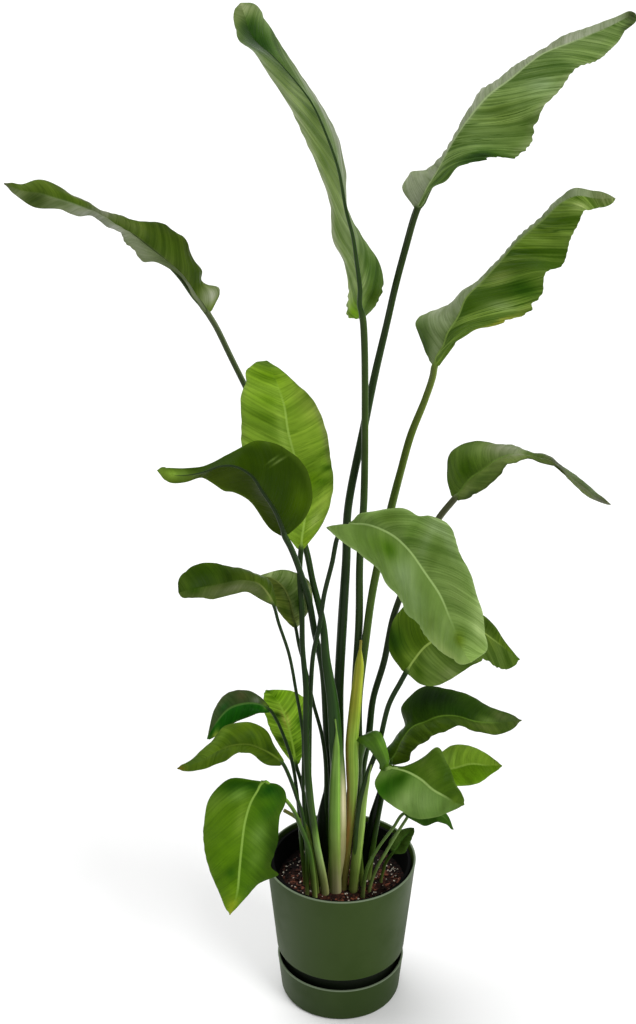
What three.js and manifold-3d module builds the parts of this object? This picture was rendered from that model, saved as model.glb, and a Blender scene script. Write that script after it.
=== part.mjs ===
// Potted bird of paradise, in millimetres, +Z up.
// The origin is the centre of the saucer's flat underside, on the surface that the plant stands on.
// The front of the plant faces -Y and its left side is -X.
import * as THREE from "three";
import { mergeVertices } from "three/addons/utils/BufferGeometryUtils.js";
import Module from "manifold-3d";

const wasm = await Module();
wasm.setup();

// Driving dimensions.
const seatGap = 0.3; // between two pieces that rest on or in each other
const potHeight = 253;
const rimRadius = 120;
const potWall = 3.2;
const saucerHeight = 65;
const saucerRimRadius = 103;
const saucerBaseRadius = 92;
const saucerWall = 3;
const saucerFloor = 4;
const shadowGap = 20; // height of the dark groove between the pot and its saucer
const neckRadius = 93;
const linerTop = 247;
const linerRimRadius = 112;
const linerBaseRadius = 78;
const linerWall = 1.6;
const soilLevel = 214;
const soilMound = 5;
const footDepth = 39; // how far each stalk stands down in the soil
const footCollar = 2; // length of straight stalk just above the soil
const holeClearance = 0.4;
const drainRadius = 7;
const roundSides = 48;
const bladeColumns = [-1, -0.5, 0, 0.5, 1]; // places across a blade, from left edge to right edge
const bladeThickness = 0.9;
const keelShare = 1.2; // of the stalk's radius, how far the midrib stands out under the blade's base
const ridgeShare = 0.6; // the same above the blade, where it fades much sooner
const wavePitch = 4.2; // radians of edge wave from one rib to the next

const holeFloor = soilLevel - footDepth;
const holeTop = soilLevel + 20; // above the soil, so that the cut is clean
const collarTop = soilLevel + footCollar;

const greenPlastic = { color: 0x3f4d2e, roughness: 0.55, metalness: 0 };
const saucerPlastic = { color: 0x3a482c, roughness: 0.55, metalness: 0 };
const blackPlastic = { color: 0x17181a, roughness: 0.6, metalness: 0 };
const soilMix = { color: 0x35211a, roughness: 0.95, metalness: 0 };
const sheathSkin = { color: 0x8e9a35, roughness: 0.45, metalness: 0 };
const leafSkin = { color: 0x4f7030, roughness: 0.4, metalness: 0 };
const darkLeafSkin = { color: 0x33491a, roughness: 0.42, metalness: 0 };
const brightLeafSkin = { color: 0x6d9427, roughness: 0.42, metalness: 0 };

// Leaves, each with its own stalk. All points are x, y, z.
//   foot:  x, y and radius of the stalk where it goes into the soil
//   stalk: points on the stalk's centre line with the radius there, from the soil up to the blade
//   ribs:  left edge, midrib and right edge of the blade, from its base to its tip
//   crown: how far each half of the blade bulges towards its upper face
//   ripple: height of the waves along the blade's edges
const leaves = {
  leaf_top: {
    skin: leafSkin, crown: 4, ripple: 2, foot: [6, 8, 6],
    stalk: [[20, 10, 460, 7.5], [20, 10, 555, 7], [25, 10, 680, 6], [25, 10, 780, 6],
      [30, 10, 880, 5.5], [30, 5, 1015, 5.5], [28, 5, 1125, 5]],
    ribs: [
      [[30, 20, 1160], [25, 0, 1165], [15, 20, 1155]],
      [[45, 35, 1170], [20, 0, 1185], [0, 30, 1155]],
      [[55, 45, 1190], [20, -5, 1210], [5, 35, 1190]],
      [[50, 50, 1225], [15, -10, 1250], [0, 40, 1230]],
      [[25, 50, 1265], [10, -10, 1285], [-15, 45, 1260]],
      [[5, 50, 1305], [0, -15, 1325], [-20, 45, 1310]],
      [[0, 50, 1360], [-10, -20, 1380], [-35, 45, 1360]],
      [[-10, 50, 1405], [-25, -25, 1425], [-55, 45, 1405]],
      [[-30, 50, 1445], [-45, -30, 1470], [-75, 40, 1450]],
      [[-55, 40, 1485], [-70, -35, 1505], [-100, 35, 1490]],
      [[-80, 25, 1525], [-95, -45, 1535], [-120, 20, 1525]],
      [[-100, -5, 1565], [-120, -55, 1560], [-140, -15, 1550]],
      [[-115, -35, 1590], [-130, -60, 1590], [-140, -45, 1580]],
      [[-130, -65, 1605], [-134, -67, 1605], [-138, -65, 1602]],
    ],
  },
  leaf_upper_right: {
    skin: leafSkin, crown: 5, ripple: 3, foot: [-8, 4, 7],
    stalk: [[-5, 5, 460, 8.5], [-5, 5, 560, 8.5], [0, 10, 680, 7.5], [5, 15, 780, 7.5], [7, 20, 860, 6.5],
      [30, 30, 990, 6], [45, 35, 1070, 6], [60, 40, 1140, 5.5], [72, 40, 1200, 5], [85, 40, 1255, 5],
      [95, 40, 1295, 5]],
    ribs: [
      [[95, 42, 1310], [100, 40, 1310], [105, 35, 1315]],
      [[80, 70, 1330], [105, 40, 1320], [115, 5, 1345]],
      [[90, 85, 1345], [115, 45, 1340], [130, -10, 1360]],
      [[110, 90, 1350], [125, 50, 1355], [155, -20, 1385]],
      [[140, 100, 1365], [140, 55, 1385], [190, -20, 1395]],
      [[160, 105, 1400], [155, 60, 1410], [220, -20, 1395]],
      [[175, 110, 1435], [175, 70, 1435], [245, -10, 1405]],
      [[190, 115, 1455], [195, 80, 1455], [255, 5, 1440]],
      [[220, 120, 1475], [225, 90, 1475], [280, 20, 1475]],
      [[260, 130, 1500], [265, 100, 1505], [310, 45, 1500]],
      [[305, 140, 1525], [310, 115, 1520], [345, 70, 1510]],
      [[350, 145, 1540], [355, 130, 1535], [370, 100, 1525]],
      [[380, 150, 1550], [380, 140, 1545], [385, 125, 1540]],
      [[394, 148, 1556], [397, 145, 1553], [400, 141, 1550]],
    ],
  },
  leaf_right: {
    skin: leafSkin, crown: 5, ripple: 3, foot: [25, -8, 6],
    stalk: [[25, -8, 400, 6], [25, -8, 470, 7.5], [25, -8, 550, 7], [35, 0, 650, 6], [45, 5, 735, 6],
      [71, 5, 875, 6], [83, 5, 930, 6], [96, 5, 985, 5.5], [115, 5, 1040, 5.5], [125, 5, 1075, 5]],
    ribs: [
      [[120, 8, 1098], [127, 5, 1090], [134, 0, 1094]],
      [[115, 30, 1105], [130, 5, 1105], [150, -25, 1130]],
      [[105, 55, 1125], [140, 10, 1120], [160, -40, 1150]],
      [[105, 70, 1140], [145, 15, 1135], [185, -45, 1165]],
      [[140, 80, 1150], [160, 20, 1160], [215, -50, 1175]],
      [[165, 85, 1170], [170, 25, 1185], [245, -45, 1185]],
      [[190, 85, 1185], [190, 30, 1205], [265, -40, 1205]],
      [[215, 85, 1210], [215, 40, 1230], [270, -30, 1235]],
      [[240, 85, 1245], [240, 45, 1260], [295, -10, 1245]],
      [[270, 80, 1280], [275, 50, 1290], [310, 5, 1280]],
      [[295, 75, 1310], [300, 50, 1315], [325, 20, 1310]],
      [[315, 65, 1330], [320, 45, 1325], [335, 30, 1310]],
      [[340, 55, 1330], [345, 42, 1322], [347, 33, 1312]],
      [[368, 43, 1325], [371, 40, 1323], [370, 36, 1319]],
    ],
  },
  leaf_far_left: {
    skin: leafSkin, crown: 6, ripple: 3, foot: [-12, -32, 9], flatness: 0.7,
    stalk: [[-6, -33, 290, 10], [-5, -34, 405, 14], [-10, -35, 495, 12], [-15, -35, 565, 11],
      [-25, -30, 635, 9], [-30, -25, 695, 7], [-45, -5, 755, 5.5], [-55, 20, 795, 5], [-80, 50, 860, 5],
      [-110, 80, 935, 5], [-137, 100, 1005, 5], [-165, 110, 1065, 4.5], [-185, 112, 1110, 4.5]],
    ribs: [
      [[-203, 107, 1135], [-196, 110, 1131], [-190, 116, 1136]],
      [[-210, 90, 1155], [-205, 115, 1145], [-180, 150, 1155]],
      [[-220, 85, 1175], [-215, 120, 1155], [-205, 160, 1165]],
      [[-245, 80, 1210], [-235, 120, 1185], [-210, 165, 1180]],
      [[-270, 75, 1220], [-255, 125, 1205], [-225, 170, 1210]],
      [[-290, 70, 1230], [-280, 130, 1225], [-240, 170, 1235]],
      [[-305, 75, 1250], [-305, 130, 1245], [-270, 165, 1250]],
      [[-320, 90, 1260], [-330, 125, 1260], [-310, 155, 1260]],
      [[-350, 105, 1275], [-352, 125, 1275], [-345, 140, 1275]],
      [[-375, 90, 1285], [-380, 120, 1290], [-370, 140, 1290]],
      [[-405, 85, 1295], [-405, 115, 1300], [-400, 135, 1310]],
      [[-435, 80, 1300], [-430, 110, 1310], [-430, 130, 1325]],
      [[-455, 85, 1312], [-455, 100, 1318], [-455, 115, 1322]],
      [[-475, 95, 1325], [-476, 97, 1328], [-475, 100, 1332]],
    ],
  },
  leaf_bright_back: {
    skin: brightLeafSkin, crown: -3, ripple: 2, foot: [-27, -40, 6],
    stalk: [[-40, -45, 315, 6], [-50, -50, 405, 5], [-55, -50, 505, 6], [-55, -50, 595, 5],
      [-60, -40, 660, 4.5], [-61, -31, 720, 4], [-64, -25, 775, 4]],
    ribs: [
      [[-68, -20, 816], [-62, -20, 813], [-56, -20, 817]],
      [[-90, -25, 850], [-60, -20, 835], [-35, -25, 850]],
      [[-120, -30, 890], [-55, -15, 870], [-20, -30, 890]],
      [[-135, -30, 940], [-55, -10, 910], [-15, -25, 930]],
      [[-145, -30, 980], [-70, -5, 955], [-20, -20, 965]],
      [[-145, -25, 1020], [-80, 0, 995], [-25, -15, 1000]],
      [[-145, -15, 1055], [-85, 5, 1030], [-45, -5, 1045]],
      [[-135, -5, 1075], [-95, 15, 1060], [-70, 10, 1065]],
      [[-125, 15, 1088], [-105, 30, 1078], [-90, 25, 1077]],
      [[-114, 38, 1086], [-110, 42, 1085], [-105, 40, 1082]],
    ],
  },
  leaf_dark_left: {
    skin: darkLeafSkin, crown: 5, ripple: 2, foot: [-18, 22, 5],
    stalk: [[-20, 17, 390, 5.5], [-25, 12, 500, 5.5], [-30, 5, 595, 5], [-42, -10, 670, 5],
      [-50, -26, 730, 5], [-65, -50, 800, 5], [-76, -62, 838, 4.5]],
    ribs: [
      [[-79, -66, 862], [-85, -70, 862], [-91, -69, 861]],
      [[-55, -50, 880], [-90, -80, 885], [-105, -65, 870]],
      [[-45, -40, 915], [-100, -90, 915], [-120, -70, 895]],
      [[-55, -40, 955], [-115, -100, 945], [-130, -75, 915]],
      [[-85, -50, 990], [-130, -110, 975], [-150, -85, 935]],
      [[-120, -60, 1005], [-150, -115, 990], [-170, -95, 945]],
      [[-150, -80, 1000], [-170, -120, 993], [-190, -105, 965]],
      [[-190, -110, 990], [-195, -130, 988], [-200, -120, 975]],
      [[-220, -125, 992], [-220, -140, 988], [-220, -135, 975]],
      [[-240, -135, 997], [-240, -145, 992], [-240, -145, 980]],
      [[-252, -148, 1003], [-255, -150, 1000], [-252, -151, 996]],
    ],
  },
  leaf_middle_left: {
    skin: darkLeafSkin, crown: 4, ripple: 1.5, foot: [-46, -30, 3],
    stalk: [[-55, -30, 305, 3], [-60, -30, 400, 3], [-60, -30, 500, 2.8], [-70, -40, 585, 2.5],
      [-80, -50, 655, 2.5], [-95, -60, 715, 2.5]],
    ribs: [
      [[-105, -61, 745], [-101, -60, 741], [-97, -58, 744]],
      [[-120, -70, 758], [-110, -65, 765], [-105, -45, 772]],
      [[-135, -85, 777], [-125, -70, 785], [-120, -45, 785]],
      [[-155, -95, 782], [-150, -80, 795], [-150, -50, 798]],
      [[-185, -110, 780], [-175, -90, 795], [-175, -60, 810]],
      [[-200, -115, 785], [-200, -100, 795], [-205, -75, 820]],
      [[-220, -120, 788], [-220, -110, 795], [-225, -90, 815]],
      [[-234, -118, 790], [-235, -116, 794], [-236, -115, 798]],
    ],
  },
  leaf_shaded_middle: {
    skin: darkLeafSkin, crown: 4, ripple: 1.5, foot: [-22, 6, 4],
    stalk: [[-24, 2, 330, 3.8], [-25, 0, 430, 3.6], [-31, -5, 485, 3.4], [-44, -10, 545, 3],
      [-56, -15, 610, 2.8], [-65, -20, 650, 2.6]],
    ribs: [
      [[-75, -24, 687], [-70, -20, 682], [-65, -16, 686]],
      [[-90, -35, 710], [-75, -15, 705], [-50, 5, 700]],
      [[-100, -35, 730], [-80, -10, 725], [-45, 15, 720]],
      [[-110, -30, 745], [-90, -5, 745], [-55, 20, 745]],
      [[-120, -25, 758], [-108, 0, 757], [-85, 25, 757]],
      [[-129, -4, 757], [-130, 0, 758], [-127, 4, 758]],
    ],
  },
  leaf_front: {
    skin: leafSkin, crown: 6, ripple: 3, foot: [-34, -22, 4],
    stalk: [[-42, -22, 300, 4], [-50, -25, 380, 4], [-50, -30, 490, 4], [-48, -35, 585, 3.5],
      [-44, -40, 650, 3.5], [-35, -45, 700, 3.5], [-28, -50, 755, 3.5], [-17, -58, 810, 3.5]],
    ribs: [
      [[-8, -62, 868], [-7, -65, 863], [-14, -61, 858]],
      [[5, -70, 877], [5, -75, 880], [-25, -60, 870]],
      [[20, -80, 900], [25, -90, 890], [5, -80, 850]],
      [[45, -100, 915], [45, -110, 895], [30, -95, 840]],
      [[80, -120, 930], [70, -130, 890], [55, -120, 820]],
      [[115, -140, 930], [90, -155, 880], [75, -140, 800]],
      [[140, -165, 925], [110, -180, 860], [90, -165, 785]],
      [[160, -195, 890], [130, -210, 840], [105, -190, 780]],
      [[175, -225, 860], [142, -240, 820], [120, -220, 770]],
      [[185, -250, 830], [153, -265, 800], [140, -250, 768]],
      [[185, -275, 795], [161, -280, 787], [153, -270, 772]],
      [[172, -288, 784], [168, -290, 782], [165, -288, 779]],
    ],
  },
  leaf_curled_right: {
    skin: darkLeafSkin, crown: 4, ripple: 2, foot: [32, 10, 5],
    stalk: [[32, 10, 375, 5], [35, 10, 420, 4.5], [42, 10, 475, 4.5], [48, 12, 540, 5.5],
      [64, 15, 605, 5], [76, 20, 675, 5], [86, 22, 710, 5], [105, 30, 760, 5], [125, 35, 805, 5],
      [145, 40, 840, 5]],
    ribs: [
      [[160, 45, 871], [165, 40, 868], [171, 35, 867]],
      [[155, 60, 890], [175, 40, 883], [185, 15, 880]],
      [[155, 70, 915], [187, 35, 903], [200, 0, 900]],
      [[170, 75, 940], [205, 30, 923], [220, -10, 925]],
      [[205, 80, 950], [223, 30, 940], [230, -15, 948]],
      [[240, 75, 948], [245, 25, 953], [245, -20, 960]],
      [[270, 65, 940], [272, 20, 950], [270, -20, 960]],
      [[300, 50, 933], [300, 10, 940], [300, -25, 950]],
      [[325, 40, 915], [325, 0, 922], [320, -30, 935]],
      [[355, 25, 898], [351, -5, 904], [343, -30, 912]],
      [[371, 10, 887], [370, -10, 890], [366, -25, 896]],
      [[385, -14, 886], [387, -16, 885], [386, -19, 886]],
    ],
  },
  leaf_behind_front: {
    skin: leafSkin, crown: 5, ripple: 2.5, foot: [21, -36, 6],
    stalk: [[23, -42, 290, 6], [28, -42, 380, 6], [40, -41, 439, 5], [55, -38, 485, 4],
      [70, -45, 565, 4], [86, -49, 605, 4]],
    ribs: [
      [[88, -45, 625], [94, -50, 623], [99, -53, 621]],
      [[70, -30, 650], [105, -45, 640], [115, -60, 610]],
      [[75, -20, 695], [125, -40, 665], [140, -65, 610]],
      [[100, -15, 725], [150, -40, 680], [165, -65, 625]],
      [[140, -10, 735], [175, -40, 690], [195, -70, 650]],
      [[185, -15, 715], [200, -40, 690], [212, -70, 655]],
      [[220, -20, 695], [225, -45, 675], [230, -75, 643]],
      [[240, -35, 670], [243, -50, 662], [245, -75, 645]],
      [[259, -57, 654], [262, -59, 652], [261, -62, 648]],
    ],
  },
  leaf_dark_right: {
    skin: darkLeafSkin, crown: 5, ripple: 2, foot: [44, -6, 5],
    stalk: [[50, -5, 270, 5], [60, 0, 340, 4.5], [68, 3, 390, 4]],
    ribs: [
      [[71, 12, 425], [76, 9, 424], [82, 6, 422]],
      [[70, 25, 437], [85, 10, 443], [105, -10, 442]],
      [[85, 35, 455], [95, 10, 468], [108, -15, 462]],
      [[98, 40, 472], [110, 10, 490], [122, -20, 477]],
      [[95, 45, 505], [130, 5, 503], [135, -25, 492]],
      [[120, 50, 535], [150, 0, 515], [155, -30, 507]],
      [[160, 45, 540], [177, 0, 515], [180, -30, 517]],
      [[205, 40, 525], [205, -10, 512], [205, -35, 510]],
      [[235, 30, 512], [235, -10, 510], [235, -35, 505]],
      [[258, 10, 515], [257, -15, 515], [258, -30, 510]],
      [[272, -19, 524], [275, -21, 522], [272, -23, 519]],
    ],
  },
  leaf_lower_right: {
    skin: leafSkin, crown: 4, ripple: 2, foot: [33, -22, 4],
    stalk: [[27, -20, 320, 4], [26, -21, 395, 4], [31, -28, 460, 5], [38, -44, 495, 7],
      [51, -56, 500, 8], [61, -58, 479, 6]],
    ribs: [
      [[68, -51, 462], [65, -54, 458], [60, -56, 457]],
      [[95, -50, 457], [80, -60, 460], [50, -60, 435]],
      [[125, -50, 475], [100, -70, 460], [60, -70, 415]],
      [[145, -55, 495], [120, -80, 453], [85, -80, 400]],
      [[160, -70, 475], [137, -95, 445], [110, -90, 390]],
      [[170, -90, 455], [154, -105, 440], [140, -100, 398]],
      [[179, -105, 447], [168, -115, 437], [158, -110, 413]],
      [[184, -122, 441], [182, -125, 438], [180, -124, 435]],
    ],
  },
  leaf_pale_right: {
    skin: brightLeafSkin, crown: 4, ripple: 1.5, foot: [45, -38, 3],
    stalk: [[55, -38, 255, 2.8], [70, -40, 290, 2.6], [90, -35, 328, 2.5], [105, -28, 352, 2.5],
      [120, -20, 383, 2.5]],
    ribs: [
      [[131, -11, 413], [135, -15, 410], [139, -19, 407]],
      [[150, 5, 440], [155, -15, 425], [165, -35, 410]],
      [[170, 10, 455], [178, -20, 435], [187, -40, 415]],
      [[195, 5, 460], [200, -25, 445], [208, -50, 425]],
      [[220, -10, 457], [222, -35, 449], [226, -50, 440]],
      [[243, -42, 457], [246, -44, 454], [243, -46, 451]],
    ],
  },
  leaf_small_right: {
    skin: darkLeafSkin, crown: 3, ripple: 1, foot: [34, -50, 4],
    stalk: [[40, -50, 265, 3.5], [56, -52, 305, 3], [80, -58, 350, 2.6]],
    ribs: [
      [[95, -56, 379], [95, -60, 377], [98, -64, 375]],
      [[110, -45, 387], [110, -60, 380], [112, -70, 370]],
      [[130, -45, 390], [130, -65, 382], [127, -75, 365]],
      [[150, -55, 385], [150, -70, 382], [147, -80, 375]],
      [[163, -70, 380], [163, -80, 377], [160, -83, 373]],
      [[170, -88, 371], [171, -90, 369], [169, -91, 367]],
    ],
  },
  leaf_tiny_right: {
    skin: darkLeafSkin, crown: 3, ripple: 1, foot: [64, -14, 3],
    stalk: [[67, -17, 235, 2.6], [71, -20, 255, 2.4]],
    ribs: [
      [[79, -21, 279], [82, -24, 278], [85, -27, 277]],
      [[75, -15, 288], [90, -25, 290], [100, -35, 285]],
      [[85, -10, 305], [97, -25, 304], [107, -38, 305]],
      [[100, -15, 317], [107, -25, 317], [113, -33, 317]],
      [[110, -24, 326], [114, -26, 326], [115, -29, 323]],
    ],
  },
  leaf_hanging_left: {
    skin: leafSkin, crown: 5, ripple: 2, foot: [-42, -52, 4],
    stalk: [[-50, -58, 305, 4], [-65, -66, 360, 3.5], [-75, -75, 395, 3.5], [-90, -85, 425, 3],
      [-106, -92, 448, 3]],
    ribs: [
      [[-115, -95, 458], [-120, -98, 462], [-127, -98, 463]],
      [[-95, -90, 450], [-128, -105, 450], [-170, -95, 465]],
      [[-85, -90, 430], [-138, -110, 433], [-200, -100, 435]],
      [[-95, -95, 395], [-147, -120, 405], [-210, -110, 395]],
      [[-100, -105, 350], [-153, -125, 360], [-210, -115, 350]],
      [[-115, -115, 310], [-157, -130, 320], [-200, -125, 310]],
      [[-135, -125, 285], [-160, -140, 290], [-190, -130, 285]],
      [[-155, -135, 265], [-166, -145, 268], [-180, -140, 262]],
      [[-169, -149, 255], [-172, -150, 253], [-175, -149, 256]],
    ],
  },
  leaf_arched_left: {
    skin: leafSkin, crown: 5, ripple: 2, foot: [-54, -44, 3.5],
    stalk: [[-55, -45, 300, 3.5], [-61, -50, 365, 3], [-70, -55, 405, 3], [-81, -59, 445, 3]],
    ribs: [
      [[-95, -65, 468], [-91, -62, 471], [-89, -59, 474]],
      [[-115, -80, 480], [-105, -70, 490], [-105, -52, 500]],
      [[-130, -90, 500], [-120, -75, 503], [-120, -54, 530]],
      [[-145, -100, 515], [-140, -80, 515], [-145, -56, 540]],
      [[-160, -105, 515], [-165, -90, 520], [-175, -64, 540]],
      [[-180, -115, 507], [-185, -100, 518], [-195, -75, 522]],
      [[-205, -120, 500], [-206, -110, 510], [-215, -90, 508]],
      [[-225, -125, 498], [-227, -120, 505], [-231, -107, 503]],
      [[-244, -126, 500], [-246, -125, 503], [-245, -123, 506]],
    ],
  },
  leaf_shaded_left: {
    skin: darkLeafSkin, crown: 4, ripple: 1.5, foot: [-58, -20, 3],
    stalk: [[-64, -21, 300, 3], [-69, -21, 380, 3], [-77, -20, 445, 2.8], [-89, -18, 490, 2.8],
      [-100, -15, 518, 2.6]],
    ribs: [
      [[-112, -15, 532], [-111, -13, 536], [-112, -10, 540]],
      [[-130, -24, 535], [-130, -12, 545], [-127, 4, 550]],
      [[-150, -30, 530], [-150, -16, 548], [-155, 6, 560]],
      [[-170, -36, 523], [-172, -22, 543], [-180, -2, 555]],
      [[-187, -44, 512], [-190, -34, 528], [-195, -14, 538]],
      [[-204, -49, 503], [-206, -47, 505], [-205, -44, 509]],
    ],
  },
  leaf_bright_left: {
    skin: brightLeafSkin, crown: -3, ripple: 1.5, foot: [-42, 2, 3.5],
    stalk: [[-50, 0, 285, 3.2], [-56, 0, 350, 3], [-64, 3, 395, 3]],
    ribs: [
      [[-76, 4, 425], [-71, 5, 422], [-66, 6, 426]],
      [[-95, 5, 455], [-75, 10, 448], [-57, 10, 455]],
      [[-110, 10, 482], [-82, 20, 480], [-55, 10, 492]],
      [[-120, 15, 510], [-90, 25, 505], [-55, 20, 530]],
      [[-122, 20, 530], [-100, 30, 525], [-75, 25, 545]],
      [[-121, 31, 541], [-118, 33, 543], [-114, 33, 544]],
    ],
  },
};

// The young leaf in the middle is still rolled in its sheath, a flat pointed spear.
const spear = {
  skin: sheathSkin, flatness: 0.6, foot: [5, -32, 6],
  stalk: [[11, -34, 300, 5], [16, -36, 395, 5], [16, -36, 440, 8], [15, -36, 490, 10],
    [20, -35, 565, 10], [25, -31, 625, 8], [26, -30, 652, 5.5], [27, -30, 667, 2]],
};

function vector([x, y, z]) {
  return new THREE.Vector3(x, y, z);
}

function meshOf(name, geometry, skin) {
  const mesh = new THREE.Mesh(geometry, new THREE.MeshStandardMaterial(skin));
  mesh.name = name;
  return mesh;
}

// A solid of revolution about Z from a closed outline of [radius, height] points.
function turned(outline) {
  const profile = [...outline, outline[0]].map(([radius, height]) => new THREE.Vector2(radius, height));
  const geometry = new THREE.LatheGeometry(profile, roundSides);
  geometry.rotateX(Math.PI / 2);
  return geometry;
}

function saucerGeometry() {
  const innerRim = saucerRimRadius - saucerWall;
  const innerBase = saucerBaseRadius + 2;
  return turned([
    [0, 0],
    [saucerBaseRadius, 0],
    [saucerBaseRadius + 3, 1.5],
    [saucerBaseRadius + 5, 6],
    [saucerRimRadius - 0.5, saucerHeight - 3],
    [saucerRimRadius, saucerHeight - 1],
    [saucerRimRadius - 1, saucerHeight],
    [innerRim, saucerHeight],
    [innerBase, saucerFloor + 4],
    [innerBase - 4, saucerFloor],
    [0, saucerFloor],
  ]);
}

function potGeometry() {
  const bottom = saucerFloor + seatGap;
  const shoulder = saucerHeight + shadowGap;
  const shoulderRadius = saucerRimRadius + 1;
  return turned([
    [drainRadius, bottom],
    [neckRadius - 6, bottom],
    [neckRadius - 3, bottom + 3],
    [neckRadius, shoulder],
    [shoulderRadius - 3, shoulder],
    [shoulderRadius - 1, shoulder + 1.5],
    [shoulderRadius, shoulder + 5],
    [rimRadius - 0.6, potHeight - 3],
    [rimRadius, potHeight - 1.2],
    [rimRadius - 1.2, potHeight],
    [rimRadius - potWall + 0.4, potHeight],
    [rimRadius - potWall - 0.6, potHeight - 2],
    [shoulderRadius - potWall, shoulder + 9],
    [neckRadius - potWall, shoulder + 2],
    [neckRadius - potWall - 3, bottom + 6],
    [neckRadius - potWall - 6, bottom + potWall],
    [drainRadius, bottom + potWall],
  ]);
}

// Inner radius of the liner pot at a height, which the soil also follows.
function linerInnerRadius(height) {
  const bottom = linerBottom();
  const share = (height - bottom) / (linerTop - bottom);
  return linerBaseRadius + (linerRimRadius - 3 - linerBaseRadius) * share - linerWall;
}

function linerBottom() {
  return saucerFloor + potWall + 2 * seatGap;
}

function linerGeometry() {
  const bottom = linerBottom();
  const floorTop = bottom + linerWall;
  const band = linerTop - 9;
  return turned([
    [drainRadius, bottom],
    [linerBaseRadius, bottom],
    [linerInnerRadius(band) + linerWall, band],
    [linerRimRadius - 0.5, band],
    [linerRimRadius, linerTop],
    [linerInnerRadius(linerTop), linerTop],
    [linerInnerRadius(floorTop), floorTop],
    [drainRadius, floorTop],
  ]);
}

// One slice through a stalk: points above and below its widest line, as a blade's faces are.
function stalkSlice(centre, side, up, radius, depth) {
  const count = bladeColumns.length;
  const step = Math.PI / count;
  const above = [];
  const below = [];
  for (let i = 0; i < count; i += 1) {
    const angle = Math.PI - step * (i + 0.5);
    const across = side.clone().multiplyScalar(radius * Math.cos(angle));
    const rise = up.clone().multiplyScalar(depth * Math.sin(angle));
    above.push(centre.clone().add(across).add(rise));
    below.push(centre.clone().add(across).sub(rise));
  }
  return { above, below };
}

// Across the blade, from its left edge to its right edge, near its base.
function bladeSide(plant) {
  const [left, , right] = plant.ribs[2];
  return vector(right).sub(vector(left)).normalize();
}

// A foot's own left and right lie along X, turned the way that its blade needs the least twist.
function footSide(plant) {
  const isTurned = plant.ribs !== undefined && bladeSide(plant).x < 0;
  return new THREE.Vector3(isTurned ? -1 : 1, 0, 0);
}

// The soil's holes and the stalks' feet are upright, with the same slice all the way down.
function footSlice(plant, height, clearance) {
  const [x, y, radius] = plant.foot;
  const depth = radius * (plant.flatness ?? 1);
  const centre = new THREE.Vector3(x, y, height);
  const side = footSide(plant);
  const up = new THREE.Vector3().crossVectors(side, new THREE.Vector3(0, 0, 1));
  return stalkSlice(centre, side, up, radius + clearance, depth + clearance);
}

// Skin over slices that all have the same number of points, closed at both ends.
function skinned(slices) {
  const count = bladeColumns.length;
  const positions = [];
  const faces = [];
  for (const { above, below } of slices) {
    for (const point of [...above, ...below]) {
      positions.push(point.x, point.y, point.z);
    }
  }
  const top = (j, i) => j * 2 * count + i;
  const low = (j, i) => j * 2 * count + count + i;
  const last = slices.length - 1;
  for (let j = 0; j < last; j += 1) {
    for (let i = 0; i < count - 1; i += 1) {
      faces.push(top(j, i), top(j, i + 1), top(j + 1, i + 1));
      faces.push(top(j, i), top(j + 1, i + 1), top(j + 1, i));
      faces.push(low(j, i), low(j + 1, i + 1), low(j, i + 1));
      faces.push(low(j, i), low(j + 1, i), low(j + 1, i + 1));
    }
    faces.push(top(j, 0), top(j + 1, 0), low(j + 1, 0));
    faces.push(top(j, 0), low(j + 1, 0), low(j, 0));
    faces.push(top(j, count - 1), low(j + 1, count - 1), top(j + 1, count - 1));
    faces.push(top(j, count - 1), low(j, count - 1), low(j + 1, count - 1));
  }
  for (let i = 0; i < count - 1; i += 1) {
    faces.push(top(last, i), top(last, i + 1), low(last, i + 1));
    faces.push(top(last, i), low(last, i + 1), low(last, i));
    faces.push(top(0, i), low(0, i + 1), top(0, i + 1));
    faces.push(top(0, i), low(0, i), low(0, i + 1));
  }
  const geometry = new THREE.BufferGeometry();
  geometry.setAttribute("position", new THREE.Float32BufferAttribute(positions, 3));
  geometry.setIndex(faces);
  geometry.computeVertexNormals();
  return geometry;
}

// Slices of the stalk: two upright ones in the soil, then one for each point of the stalk.
function stalkSlices(plant, spine, lastSide) {
  const flatness = plant.flatness ?? 1;
  const slices = [footSlice(plant, holeFloor + seatGap, 0), footSlice(plant, collarTop, 0)];
  const spans = spine.points.length - 1;
  const count = plant.stalk.length;
  for (let k = 1; k <= count; k += 1) {
    const centre = spine.points[k].clone();
    const tangent = spine.getTangent(k / spans);
    const share = k / (count + 1);
    const side = footSide(plant).lerp(lastSide, share);
    side.addScaledVector(tangent, -side.dot(tangent)).normalize();
    const up = new THREE.Vector3().crossVectors(side, tangent);
    const radius = plant.stalk[k - 1][3];
    const depth = radius * (flatness + (1 - flatness) * share);
    slices.push(stalkSlice(centre, side, up, radius, depth));
  }
  return slices;
}

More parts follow.
